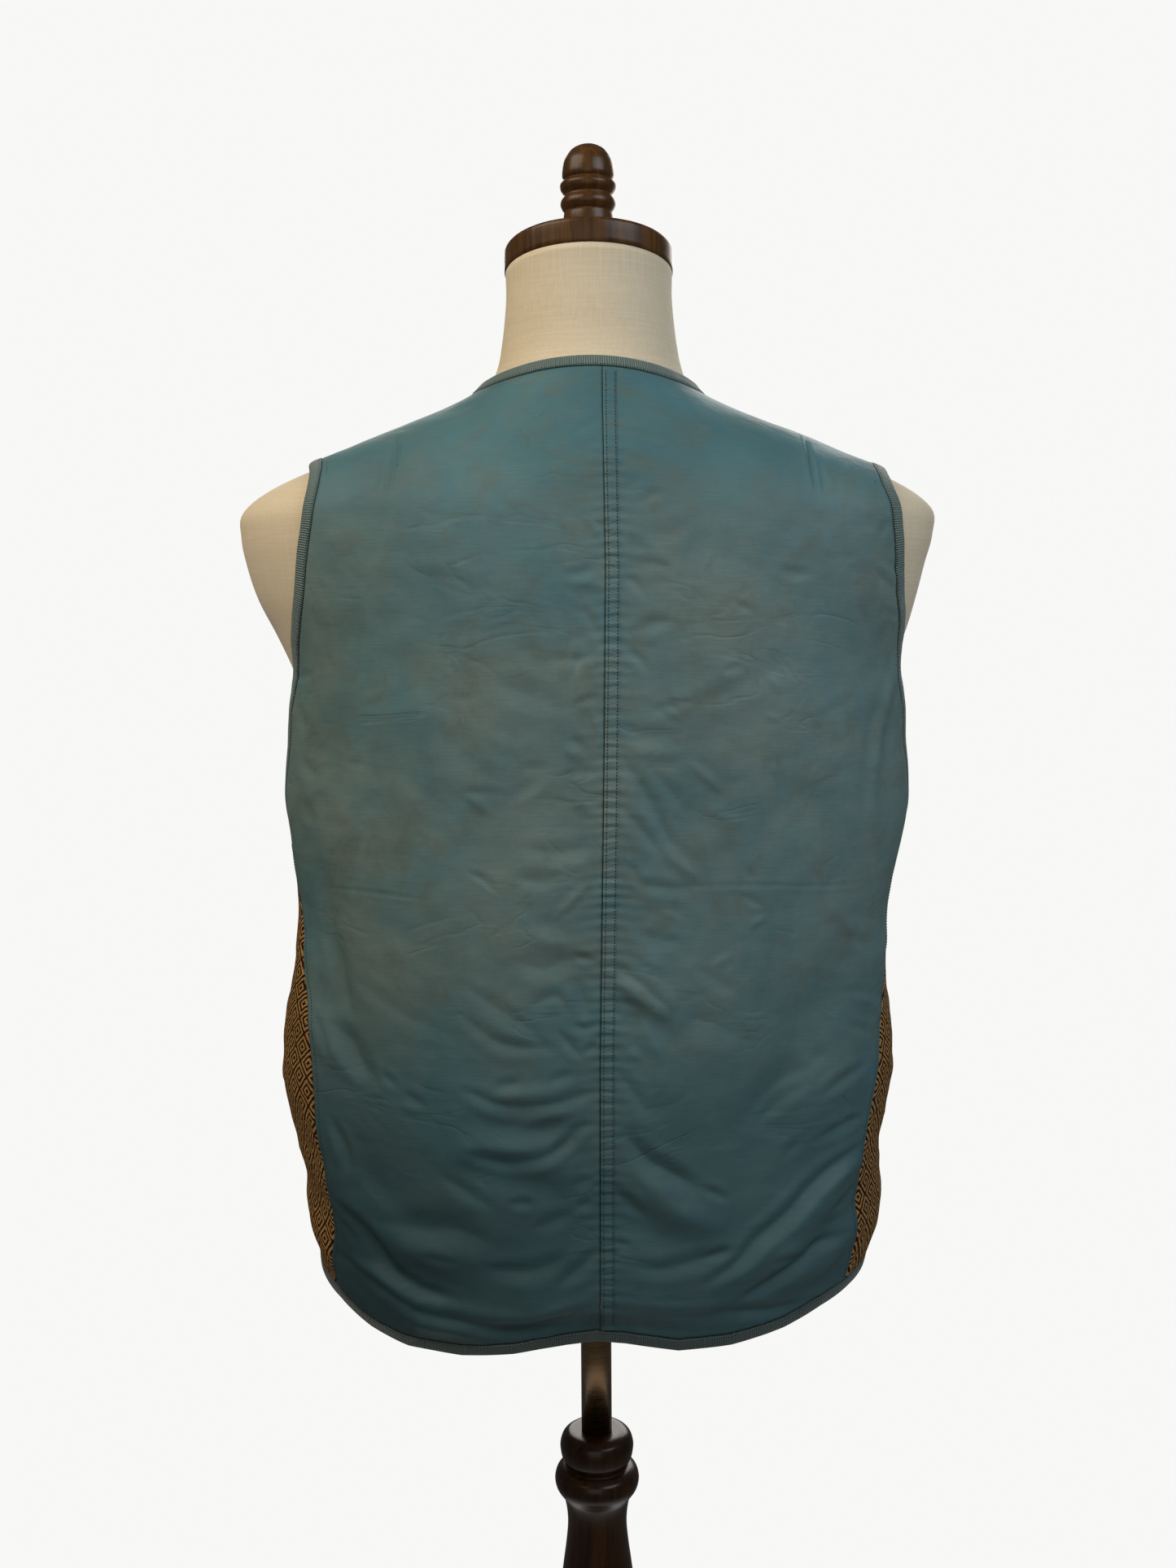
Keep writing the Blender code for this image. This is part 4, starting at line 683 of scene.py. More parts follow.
def spline(points, steps=SPLINE_STEPS):
    """A smooth line through the points, by Catmull-Rom pieces."""
    p = np.asarray(points, float)
    p = np.concatenate([2 * p[:1] - p[1:2], p, 2 * p[-1:] - p[-2:-1]])
    t = np.linspace(0, 1, steps, endpoint=False)[:, None]
    out = []
    for a, b, c, d in zip(p[:-3], p[1:-2], p[2:-1], p[3:]):
        square = (2 * a - 5 * b + 4 * c - d) * t**2
        cube = (3 * b - a - 3 * c + d) * t**3
        out.append(0.5 * (2 * b + (c - a) * t + square + cube))
    return np.concatenate(out + [p[-2:-1]])


def lengths_of(path):
    """Distance along a line of angles and heights from its start to each of its points."""
    return run_of(vest_base(path[:, 0], path[:, 1]))


def taken(path, shares):
    """The path at these shares of its length."""
    length = lengths_of(path)
    return read_at(np.asarray(shares) * length[-1], length, path)


def matched(lines, key, shares):
    """The points of another line of an edge that stand beside the edge's points at these shares of its length."""
    length = lengths_of(lines["edge"])
    return read_at(np.asarray(shares) * length[-1], length, lines[key])


def inset(path, width, side):
    """The path moved along the cloth, square to itself, to one hand or the other of its way."""
    angle, height = path[:, 0], path[:, 1]
    place = vest_base(angle, height)
    way = np.gradient(place, axis=0)
    if np.allclose(path[0], path[-1]):
        way[0] = way[-1] = place[1] - place[-2]
    way /= np.linalg.norm(way, axis=1, keepdims=True)
    square = side * width * np.cross(normal_of(vest_base, angle, height), way)
    turn = vest_base(angle + STEP_ANGLE, height) - vest_base(angle - STEP_ANGLE, height)
    climb = vest_base(angle, height + STEP_HEIGHT) - vest_base(angle, height - STEP_HEIGHT)
    slopes = np.stack([turn / (2 * STEP_ANGLE), climb / (2 * STEP_HEIGHT)], axis=2)
    flipped = np.swapaxes(slopes, 1, 2)
    move = np.linalg.solve(flipped @ slopes, flipped @ square[:, :, None])
    return path + move[:, :, 0]


def armhole(side):
    """The armhole's edge: from the shoulder down its back, under the arm and up its front."""
    rows = np.array(ARMHOLE_LEFT if side > 0 else ARMHOLE_RIGHT)
    behind = np.stack([np.pi / 2 - np.radians(rows[:, 1]), rows[:, 0]], axis=1)
    before = np.stack([np.pi / 2 + np.radians(rows[:, 2]), rows[:, 0]], axis=1)
    ring = np.concatenate([behind, before[-2::-1]])
    path = spline(np.concatenate([ring[-3:-1], ring, ring[1:3]]), SPLINE_STEPS)
    path = path[2 * SPLINE_STEPS : -2 * SPLINE_STEPS]
    return path * np.array([side, 1.0])


def neck_and_fronts():
    """The edge from the left front's hem up to the neck, round its back and down the right front."""
    half = [(np.pi / 2, NECK_AT_SIDE)]
    for height, away in FRONT_EDGE:
        half.append((turn_at(height, away, np.pi / 2, np.pi), height))
    turns = np.linspace(np.pi / 2, -np.pi / 2, NECK_POINTS + 2)[1:-1]
    back = np.stack([turns, NECK_AT_SIDE + (NECK_AT_BACK - NECK_AT_SIDE) * np.cos(turns) ** 2], axis=1)
    left = np.array(half[::-1])
    right = np.array(half) * np.array([-1.0, 1.0])
    return spline(np.concatenate([left, back, right]), SPLINE_STEPS)


def seam_line(heights):
    """The centre back seam's angles and heights."""
    return np.stack([centre_back(heights), heights], axis=1)


def side_seam(side):
    """The side seam from under the arm to below the hem."""
    rows = np.array(SIDE_SEAM)
    behind = np.radians(rows[:, 1 if side > 0 else 2])
    return spline(np.stack([side * (np.pi / 2 - behind), rows[:, 0]], axis=1))


def down_to_hem(path, above):
    """The path cut where it comes as near to the hem as the distance above it."""
    left = path[:, 1] - hem_height(path[:, 0]) - above
    last = int(np.argmax(left < 0))
    t = left[last - 1] / (left[last - 1] - left[last])
    return np.concatenate([path[:last], [path[last - 1] + t * (path[last] - path[last - 1])]])


def moved(path, side, away):
    """The path moved round the body by a distance, towards the wearer's left or right."""
    radius = np.linalg.norm(vest_base(path[:, 0], path[:, 1])[:, :2], axis=1)
    return np.stack([path[:, 0] + side * away / radius, path[:, 1]], axis=1)


def patch(first, last, top, bottom, across):
    """Angles and heights of a panel between its two side lines, bent to its top and bottom lines."""
    u = across[None, :, None]
    v = np.linspace(0, 1, len(first))[:, None, None]
    grid = first[:, None] * (1 - u) + last[:, None] * u
    bend_top = top[None] - (top[0] * (1 - u) + top[-1] * u)
    bend_bottom = bottom[None] - (bottom[0] * (1 - u) + bottom[-1] * u)
    return grid + bend_top * (1 - v) ** 3 + bend_bottom * v**3


def even_columns(width, spacing, edges=(0.0, 0.4, 0.9, 1.6, 2.6)):
    """Shares across a panel of this width: a few close together at either edge, and even between them."""
    count = max(int((width - 2 * edges[-1]) / spacing), 2)
    middle = np.linspace(edges[-1] + spacing, width - edges[-1] - spacing, count)
    return np.concatenate([edges, middle, width - np.array(edges[::-1])]) / width


def grid_faces(number):
    """Quads over a net of point numbers."""
    corners = [number[:-1, :-1], number[1:, :-1], number[1:, 1:], number[:-1, 1:]]
    return np.stack(corners, axis=-1).reshape(-1, 4)


def coarse_faces(rows, columns, step):
    """Faces over every few rows and columns of a grid of points, which keep all points along its border."""
    r = np.append(np.arange(0, rows - 1, step), rows - 1)
    c = np.append(np.arange(0, columns - 1, step), columns - 1)
    faces = []
    for top, low in zip(r[:-1], r[1:]):
        for left, right in zip(c[:-1], c[1:]):
            down = range(top, low) if left == 0 else (top,)
            across = range(left, right) if low == rows - 1 else (left,)
            up = range(low, top, -1) if right == columns - 1 else (low,)
            home = range(right, left, -1) if top == 0 else (right,)
            faces.append([k * columns + left for k in down] + [low * columns + k for k in across]
                         + [k * columns + right for k in up] + [top * columns + k for k in home])
    return faces


def add_piece(name, points, faces, material, uv=None):
    """A mesh object from points in mm and quads or triangles, with a UV map named cloth, in metres."""
    mesh = bpy.data.meshes.new(name)
    mesh.from_pydata(np.asarray(points).reshape(-1, 3) * MM, [], faces)
    if uv is not None:
        corner = np.empty(len(mesh.loops), np.int32)
        mesh.loops.foreach_get("vertex_index", corner)
        layer = mesh.uv_layers.new(name="cloth")
        layer.data.foreach_set("uv", np.asarray(uv, np.float32).reshape(-1, 2)[corner].ravel() * MM)
    mesh.polygons.foreach_set("use_smooth", np.ones(len(mesh.polygons), bool))
    mesh.materials.append(material)
    mesh.update()
    item = bpy.data.objects.new(name, mesh)
    bpy.context.scene.collection.objects.link(item)
    return item


def surface_lengths(points):
    """Distances over a grid of points: across each row from its first column, and down the first column."""
    u = run_of(points, axis=1)
    return u, np.broadcast_to(run_of(points[:, 0])[:, None], u.shape)


def flat_cloth(grid):
    """Places on the flat cloth, in mm: round the body from the centre back or front at one height, and up it.

    Both are lengths over the vest, summed over a net of turns and heights and read between its knots.
    """
    side = 1.0 if grid[..., 0].mean() > 0 else -1.0
    turn = grid[..., 0] * side
    turns, heights = np.linspace(0, np.pi, 181), np.linspace(780.0, 1460.0, 137)
    place = vest_base(side * turns[:, None], heights[None, :])
    around, up = run_of(place), run_of(place, axis=1)
    if turn.mean() > np.pi / 2:
        around = around[-1:] - around
    i = np.clip(turn / (turns[1] - turns[0]), 0, 179.999)
    j = np.clip((grid[..., 1] - heights[0]) / (heights[1] - heights[0]), 0, 135.999)
    m, n = i.astype(int), j.astype(int)
    s, t = i - m, j - n
    read = [(net[m, n] * (1 - s) + net[m + 1, n] * s) * (1 - t) + (net[m, n + 1] * (1 - s) + net[m + 1, n + 1] * s) * t
            for net in (around, up)]
    return np.stack(read, axis=-1)


def panel(name, grid, thickness, material, roll=0.7, roll_width=0.9, lift=0.0, step=3):
    """A sheet of cloth over a grid of angles and heights. Its outer side rounds off towards its own edges.

    Outer side: cloth(angle, height) - roll * exp(-(distance from the edge / roll width) ** 2). The hidden inner
    side keeps every few rows and columns.
    """
    u, v = surface_lengths(vest_base(grid[..., 0], grid[..., 1]))
    edge = np.minimum(np.minimum(u, u[:, -1:] - u), np.minimum(v, v[-1:] - v))
    rounded = lift - roll * np.exp(-((edge / roll_width) ** 2))
    outer = cloth(grid[..., 0], grid[..., 1], rounded)
    inner = cloth(grid[..., 0], grid[..., 1], lift - thickness)
    rows, columns = grid.shape[:2]
    number = np.arange(rows * columns).reshape(rows, columns)
    rim = np.concatenate([number[0], number[1:, -1], number[-1, -2::-1], number[-2::-1, 0]])
    a, b = rim[:-1], rim[1:]
    sides = np.stack([a, b, b + rows * columns, a + rows * columns], axis=1)
    front = grid_faces(number)
    m, n = rows // 2, columns // 2
    normal = np.cross(outer[m, n] - outer[m - 1, n], outer[m, n] - outer[m, n - 1])
    if normal @ (outer[m, n] - inner[m, n]) < 0:
        front, sides, way = front[:, ::-1], sides[:, ::-1], 1
    else:
        way = -1
    back = [[k + rows * columns for k in face[::way]] for face in coarse_faces(rows, columns, step)]
    points = np.concatenate([outer.reshape(-1, 3), inner.reshape(-1, 3)])
    flat = np.tile(flat_cloth(grid).reshape(-1, 2), (2, 1))
    used = np.zeros(len(points), bool)
    used[: rows * columns] = True
    used[[k for face in back for k in face]] = True
    new = np.cumsum(used) - 1
    faces = front.tolist() + new[sides].tolist() + [new[face].tolist() for face in back]
    return add_piece(name, points[used], faces, material, flat[used])


# Section of a folded binding: share from the tape's inner line to the folded edge, height over the cloth's side
TAPE_SECTION = (
    (0.00, -0.25), (0.02, 0.20), (0.07, 0.42), (0.16, 0.50), (0.40, 0.58), (0.65, 0.56), (0.82, 0.42), (0.93, 0.05),
    (0.985, -0.60), (1.00, -1.20), (0.985, -1.80), (0.93, -2.30), (0.80, -2.55), (0.40, -2.60), (0.06, -2.58),
    (0.00, -2.30),
)


def binding(name, edge, tape, material, ring=False):
    """Tape folded over an edge: TAPE_SECTION carried along the lines of the tape and of the folded edge."""
    section = np.array(TAPE_SECTION)
    share = section[:, 0][None, :, None]
    grid = tape[:, None] * (1 - share) + edge[:, None] * share
    waver = 1 + 0.10 * np.sin(np.arange(len(edge)) * 0.37) + 0.08 * np.sin(np.arange(len(edge)) * 0.113 + 1.0)
    rise = np.where(section[:, 1] > 0, section[:, 1] * waver[:, None], section[:, 1])
    points = cloth(grid[..., 0], grid[..., 1], rise)
    rows, columns = points.shape[:2]
    number = np.arange(rows * columns).reshape(rows, columns)
    after = np.roll(number, -1, axis=0) if ring else number[1:]
    now = number if ring else number[:-1]
    faces = np.stack([now, after, np.roll(after, -1, axis=1), np.roll(now, -1, axis=1)], axis=-1).reshape(-1, 4)
    along, around = run_of(points[:, 0]), run_of(points[rows // 2])
    uv = np.stack(np.broadcast_arrays(around[None, :], along[:, None]), axis=2)
    item = add_piece(name, points, faces, material, uv)
    face_out(item, not ring)
    return item


def face_out(item, open_ends=False):
    """Closes the open ends of a tube if it has them, and turns all faces to point out."""
    held = bmesh.new()
    held.from_mesh(item.data)
    if open_ends:
        bmesh.ops.holes_fill(held, edges=[e for e in held.edges if e.is_boundary], sides=0)
    bmesh.ops.recalc_face_normals(held, faces=held.faces)
    held.to_mesh(item.data)
    held.free()


def frame_along(path, out, start, pitch):
    """Places, ways and normals at an even pitch along a line of angles and heights on the cloth."""
    length = run_of(cloth(path[:, 0], path[:, 1], out))
    at = np.arange(start, length[-1] - pitch / 2, pitch)
    before, line, after = (read_at(at + move, length, path) for move in (-WAY_STEP, 0.0, WAY_STEP))
    middle = cloth(line[:, 0], line[:, 1], out)
    way = cloth(after[:, 0], after[:, 1], out) - cloth(before[:, 0], before[:, 1], out)
    way /= np.linalg.norm(way, axis=1, keepdims=True)
    normal = normal_of(vest_base, line[:, 0], line[:, 1])
    normal -= np.sum(normal * way, axis=1, keepdims=True) * way
    normal /= np.linalg.norm(normal, axis=1, keepdims=True)
    return middle, way, normal


def stitches(name, rows, material, pitch=2.0, length=1.3, width=0.34):
    """Running stitches as small bowed grains: along each, radius = width * sqrt(1 - s ** 4), sunk by s ** 2."""
    s = np.array([-1.0, -0.8, -0.35, 0.35, 0.8, 1.0])
    turn = np.linspace(0, 2 * np.pi, 6, endpoint=False)
    radius = width * np.sqrt(1 - np.minimum(s**4, 0.96))
    along = np.repeat(s * length / 2, 6)
    side = (radius[:, None] * np.cos(turn)).ravel()
    up = (radius[:, None] * np.sin(turn) * 0.8 - 0.30 * (s**2)[:, None]).ravel()
    grain = grid_tube(len(s), 6)
    points, faces = [], []
    for path, out, start in rows:
        middle, way, normal = frame_along(path, out, start, pitch)
        across = np.cross(normal, way)
        cloud = (middle[:, None] + along[None, :, None] * way[:, None] + side[None, :, None] * across[:, None]
                 + up[None, :, None] * normal[:, None])
        first = sum(len(p) for p in points) + np.arange(len(middle)) * cloud.shape[1]
        points.append(cloud.reshape(-1, 3))
        faces.append((grain[None] + first[:, None, None]).reshape(-1, 4))
    return add_piece(name, np.concatenate(points), np.concatenate(faces), material)


def tube_faces(number):
    """Quads between the closed rings of a net of point numbers."""
    after = np.roll(number, -1, axis=1)
    return np.stack([number[:-1], after[:-1], after[1:], number[1:]], axis=-1).reshape(-1, 4)


def grid_tube(rings, around):
    """Quads of a closed tube of rings, with its two ends closed by quads across them."""
    number = np.arange(rings * around).reshape(rings, around)
    low, high = number[0], number[-1]
    ends = [[low[3], low[2], low[1], low[0]], [low[5], low[4], low[3], low[0]],
            [high[0], high[1], high[2], high[3]], [high[0], high[3], high[4], high[5]]]
    return np.concatenate([tube_faces(number), np.array(ends)])


def lathe(name, profile, material, lean_below=None, around=96, steps=5):
    """A turned piece: the profile's smooth line carried round the axis, its lowest part leaning as the cap does."""
    profile = np.asarray(profile, float)
    line = spline(profile, steps) if steps > 1 else profile
    line[:, 1] = np.maximum(line[:, 1], 0.3)
    angle = np.linspace(0, 2 * np.pi, around, endpoint=False)
    x = line[:, 1][:, None] * np.sin(angle)
    y = line[:, 1][:, None] * np.cos(angle)
    z = np.broadcast_to(line[:, 0][:, None], x.shape).copy()
    if lean_below is not None:
        t = np.clip((lean_below - line[:, 0]) / (lean_below - line[-1, 0]), 0, 1)
        z += NECK_TILT * t[:, None] * y
    return loops_piece(name, np.stack([x, y, z], axis=2), material)


def loops_piece(name, loops, material):
    """A closed body through loops of points from the top down, with a fan of faces at each end."""
    count, around = loops.shape[:2]
    number = np.arange(count * around).reshape(count, around)
    after = np.roll(number, -1, axis=1)
    points = np.concatenate([loops.reshape(-1, 3), loops[:1].mean(axis=1), loops[-1:].mean(axis=1)])
    top, low = count * around, count * around + 1
    fan_top = np.stack([np.full(around, top), after[0], number[0]], axis=1)
    fan_low = np.stack([np.full(around, low), number[-1], after[-1]], axis=1)
    item = add_piece(name, points, tube_faces(number).tolist() + fan_top.tolist() + fan_low.tolist(), material)
    face_out(item)
    return item


def linear(code):
    """Linear colour of an sRGB hex value."""
    parts = [int(code[k : k + 2], 16) / 255 for k in (1, 3, 5)]
    return tuple(c / 12.92 if c <= 0.04045 else ((c + 0.055) / 1.055) ** 2.4 for c in parts) + (1.0,)


def add(tree, kind, values=None, links=None, **settings):
    """Adds a node with its properties, socket values and incoming links, and returns it."""
    node = tree.nodes.new("ShaderNode" + kind)
    for key, value in settings.items():
        setattr(node, key, value)
    for key, value in (values or {}).items():
        node.inputs[key].default_value = value
    for key, source in (links or {}).items():
        tree.links.new(source, node.inputs[key])
    return node


def new_material(name, **sockets):
    """A Principled material with these socket values. Returns it, its node tree and its shader."""
    material = bpy.data.materials.new(name)
    material.use_nodes = True
    tree = material.node_tree
    shader = tree.nodes["Principled BSDF"]
    for key, value in sockets.items():
        shader.inputs[key.replace("_", " ")].default_value = value
    return material, tree, shader


def mixed(tree, first, second, factor, blend="MIX"):
    """Colour output of a mix of two colours, each a socket or a fixed value."""
    node = add(tree, "Mix", data_type="RGBA", blend_type=blend)
    for place, value in ((6, first), (7, second), (0, factor)):
        if isinstance(value, bpy.types.NodeSocket):
            tree.links.new(value, node.inputs[place])
        else:
            node.inputs[place].default_value = value
    return node.outputs[2]


def ranged(tree, value, low, high, to_low=0.0, to_high=1.0):
    """The value carried from one range to another, smoothly and clamped."""
    node = add(tree, "MapRange", {1: low, 2: high, 3: to_low, 4: to_high}, {0: value}, interpolation_type="SMOOTHSTEP")
    return node.outputs[0]


def maths(tree, operation, first, second=0.0):
    """Output of one sum on two values, each a socket or a number."""
    node = add(tree, "Math", operation=operation)
    for place, value in ((0, first), (1, second)):
        if isinstance(value, bpy.types.NodeSocket):
            tree.links.new(value, node.inputs[place])
        else:
            node.inputs[place].default_value = value
    return node.outputs[0]


def noise(tree, where, scale, detail, roughness=0.5, distortion=0.0):
    """A noise texture's node, over places in metres: its first output is grey and its second coloured."""
    values = {"Scale": scale, "Detail": detail, "Roughness": roughness, "Distortion": distortion}
    return add(tree, "TexNoise", values, {"Vector": where})


def streaks(tree, where, scale, detail, roughness=0.5, distortion=0.0, turn=(0.0, 0.0, 0.0)):
    """Grey noise that is drawn out: scale gives its cells in a metre along each axis, once it is turned."""
    drawn = add(tree, "Mapping", {"Rotation": turn, "Scale": scale}, {"Vector": where}).outputs[0]
    return noise(tree, drawn, 1.0, detail, roughness, distortion).outputs[0]


def dress(tree, shader, colour, *layers):
    """Links a finish's colour and its relief: each layer is height, strength and depth in metres, coarsest first."""
    tree.links.new(colour, shader.inputs["Base Color"])
    links = {}
    for height, strength, depth in layers:
        bump = add(tree, "Bump", {"Strength": strength, "Distance": depth}, {"Height": height, **links})
        links = {"Normal": bump.outputs[0]}
    tree.links.new(links["Normal"], shader.inputs["Normal"])


# Finishes. Colours are sRGB and are turned to linear as they are set.


def satin_finish(look):
    """Acetate satin, woven with long floats: a broad soft sheen, paler where it is rubbed, brown where soiled, and
    darker low down as painted shade.
    """
    material, tree, shader = new_material("AcetateSatin", Specular_IOR_Level=0.24)
    cloth_map = add(tree, "UVMap", uv_map="cloth").outputs[0]
    place = add(tree, "TexCoord").outputs["Object"]
    parts = add(tree, "SeparateXYZ", links={0: place})
    across, high = parts.outputs[0], parts.outputs[2]
    # Shade differs in patches about 90 mm wide, and more finely within them.
    patches = noise(tree, place, 9.0, 6.0, 0.55).outputs[0]
    colour = mixed(tree, linear(look.satin_deep), linear(look.satin_pale), ranged(tree, patches, 0.25, 0.75))
    # Soil and fading lie in stains about 60 mm wide, thickest from 80 to 450 mm below the neck.
    stains = noise(tree, place, 13.0, 8.0, 0.66, 0.5).outputs[0]
    worn = maths(tree, "MULTIPLY", ranged(tree, high, 0.86, 1.15, 0.4, 1.0), ranged(tree, high, 1.40, 1.31, 0.1, 1.0))
    soil = maths(tree, "MULTIPLY", ranged(tree, stains, 0.10, 0.85), maths(tree, "MULTIPLY", worn, 1.1))
    colour = mixed(tree, colour, linear(look.satin_soiled), soil)
    # Handling marks 10 to 30 mm across, browner, over the shoulder blades and fainter lower down.
    marks = ranged(tree, noise(tree, place, 30.0, 5.0, 0.7, 0.8).outputs[0], 0.44, 0.72, 0.0, 0.5)
    mottle = maths(tree, "MULTIPLY", marks, ranged(tree, high, 0.90, 1.12, 0.3, 1.0))
    colour = mixed(tree, colour, linear(look.satin_marked), mottle)
    # Painted shade: the lowest 300 mm are darker, and more so on the wearer's left.
    lowest = ranged(tree, high, 0.84, 1.14, 1.0, 0.0)
    low_shade = maths(tree, "MULTIPLY", lowest, ranged(tree, across, -0.16, 0.2, 0.48, 0.88))
    colour = mixed(tree, colour, linear(look.satin_low_shade), low_shade)
    # Threads lie 0.35 mm apart. They are drawn 1.1 mm apart so that they show, as faint streaks across the cloth.
    weft = streaks(tree, cloth_map, (60.0, 900.0, 1.0), 2.0)
    streak = ranged(tree, weft, 0.3, 0.7, 0.96, 1.04)
    grey = add(tree, "CombineColor", links={0: streak, 1: streak, 2: streak}).outputs[0]
    tree.links.new(ranged(tree, patches, 0.3, 0.7, 0.64, 0.50), shader.inputs["Roughness"])
    # Fine creases 20 to 60 mm long: narrow grooves where a slanted noise passes its middle, in scattered stretches.
    wander = streaks(tree, place, (11.0, 11.0, 24.0), 3.0, distortion=0.9, turn=(0.0, 0.6, 0.0))
    groove = maths(tree, "MINIMUM", maths(tree, "ABSOLUTE", maths(tree, "SUBTRACT", wander, 0.5)), 0.045)
    where = noise(tree, place, 19.0, 1.0).outputs[0]
    creases = maths(tree, "MULTIPLY", groove, ranged(tree, where, 0.46, 0.62))
    # Slight unevenness 25 to 40 mm across, then the threads.
    uneven = noise(tree, place, 30.0, 3.0, 0.45).outputs[0]
    dress(tree, shader, mixed(tree, colour, grey, 1.0, "MULTIPLY"),
          (creases, 0.8, 0.006), (uneven, 0.35, 0.005), (weft, 0.12, 0.0004))
    return material


def figured_finish(look):
    """Woven jacquard of thick cotton: nested diamonds of raised tan yarn on dark brown, with no gloss."""
    material, tree, shader = new_material("CottonJacquard", Roughness=0.95, Specular_IOR_Level=0.12)
    cloth_map = add(tree, "UVMap", uv_map="cloth").outputs[0]
    # Yarns waver by about 0.4 mm.
    waver = noise(tree, cloth_map, 420.0, 1.0).outputs[1]
    moved = add(tree, "VectorMath", {1: (0.5, 0.5, 0.5)}, {0: waver}, operation="SUBTRACT").outputs[0]
    moved = add(tree, "VectorMath", {"Scale": 0.0011}, {0: moved}, operation="SCALE").outputs[0]
    moved = add(tree, "VectorMath", links={0: cloth_map, 1: moved}, operation="ADD").outputs[0]
    parts = add(tree, "SeparateXYZ", links={0: moved})
    u = maths(tree, "MULTIPLY", parts.outputs[0], 1 / (look.diamond_width * MM))
    v = maths(tree, "MULTIPLY", parts.outputs[1], 1 / (look.diamond_height * MM))
    # Half-dropped diamonds: lines where u + v and u - v are whole, so each lies 1 away from the next centre.
    slants = maths(tree, "ADD", u, v), maths(tree, "SUBTRACT", u, v)
    near = [maths(tree, "ABSOLUTE", maths(tree, "SUBTRACT", maths(tree, "FRACT", s), 0.5)) for s in slants]
    far = maths(tree, "MULTIPLY", maths(tree, "MAXIMUM", near[0], near[1]), 2.0)
    # Rings from the middle out: dark dot, tan, dark, tan, and a dark line between diamonds. Real diamonds are
    # 17.5 mm high. They are drawn 19 mm high so that their rings show.
    ramp = add(tree, "ValToRGB", links={0: far})
    shades = ((0.0, 0.0, 0.0, 1.0), (1.0, 1.0, 1.0, 1.0))
    for element in ramp.color_ramp.elements:
        element.color = shades[0]
    for at, kind in ((0.15, 0), (0.21, 1), (0.38, 1), (0.45, 0), (0.59, 0), (0.66, 1), (0.86, 1), (0.92, 0)):
        ramp.color_ramp.elements.new(at).color = shades[kind]
    yarn = ramp.outputs[0]
    # Single yarns 0.9 mm apart run up the cloth, and each is a little lighter or darker.
    ribs = streaks(tree, cloth_map, (420.0, 900.0, 1.0), 2.0)
    tan = mixed(tree, linear(look.yarn_tan), linear(look.yarn_pale), ranged(tree, ribs, 0.35, 0.75))
    height = maths(tree, "ADD", maths(tree, "MULTIPLY", yarn, 0.8), maths(tree, "MULTIPLY", ribs, 0.5))
    dress(tree, shader, mixed(tree, linear(look.yarn_dark), tan, yarn), (height, 0.9, 0.0009))
    return material


def tape_finish(look):
    """Ribbed rayon tape: ribs across it 1.1 mm apart, with painted shade between them and paler tops."""
    material, tree, shader = new_material("RibbedTape", Roughness=0.62, Sheen_Weight=0.2)
    place = add(tree, "TexCoord").outputs["Object"]
    # Ribs are drawn 1.5 mm apart so that they show.
    along = add(tree, "SeparateXYZ", links={0: add(tree, "UVMap", uv_map="cloth").outputs[0]}).outputs[1]
    wave = maths(tree, "SINE", maths(tree, "MULTIPLY", along, 2 * math.pi / (look.rib_spacing * MM)))
    wear = ranged(tree, noise(tree, place, 35.0, 4.0).outputs[0], 0.45, 0.7)
    top = mixed(tree, linear(look.tape_pale), linear(look.tape_worn), wear)
    # Painted shade: the hollows between the ribs take the dark colour, and the rib tops the paler ones.
    ribbed = mixed(tree, linear(look.tape_rib_shade), top, ranged(tree, wave, -1.0, 0.6))
    # Painted shade: its lowest 30 mm, from 865 down to 835 mm high, are darker.
    high = add(tree, "SeparateXYZ", links={0: place}).outputs[2]
    hem_shade = ranged(tree, high, 0.835, 0.865, 0.75, 0.0)
    dress(tree, shader, mixed(tree, ribbed, linear(look.tape_hem_shade), hem_shade), (wave, 0.8, 0.0004))
    return material


def linen_finish(look):
    """Unbleached linen in plain weave, stretched over the form: matt, with thick and thin threads both ways."""
    material, tree, shader = new_material("PlainLinen", Roughness=0.88, Sheen_Weight=0.1)
    place = add(tree, "TexCoord").outputs["Object"]
    # Threads lie 0.6 mm apart. They are drawn 1.0 mm apart so that they show.
    warp = streaks(tree, place, (1000.0, 1000.0, 30.0), 2.0)
    weft = streaks(tree, place, (30.0, 30.0, 1000.0), 2.0)
    weave = maths(tree, "MULTIPLY", maths(tree, "ADD", warp, weft), 0.5)
    cloudy = noise(tree, place, 9.0, 3.0).outputs[0]
    shade = maths(tree, "ADD", maths(tree, "MULTIPLY", weave, 0.7), maths(tree, "MULTIPLY", cloudy, 0.3))
    colour = mixed(tree, linear(look.linen_deep), linear(look.linen_pale), ranged(tree, shade, 0.30, 0.70))
    dress(tree, shader, colour, (weave, 0.2, 0.0004))
    return material


def walnut_finish(name, deep, pale, gloss, turn):
    """Walnut under brown lacquer: grain in long streaks along the piece, with a thin clear coat over it."""
    material, tree, shader = new_material(name, Roughness=gloss, Specular_IOR_Level=0.22, Coat_Weight=0.12,
                                          Coat_Roughness=0.22)
    place = add(tree, "TexCoord").outputs["Object"]
    # Grain lines are 2 to 4 mm wide, and pores 0.5 mm.
    grain = streaks(tree, place, (170.0, 170.0, 9.0), 6.0, 0.65, 0.8, turn)
    pores = streaks(tree, place, (900.0, 900.0, 60.0), 2.0, turn=turn)
    colour = mixed(tree, linear(deep), linear(pale), ranged(tree, grain, 0.30, 0.72))
    pitted = mixed(tree, colour, linear(deep), maths(tree, "MULTIPLY", ranged(tree, pores, 0.55, 0.7), 0.4))
    dress(tree, shader, pitted, (grain, 0.12, 0.0004))
    return material


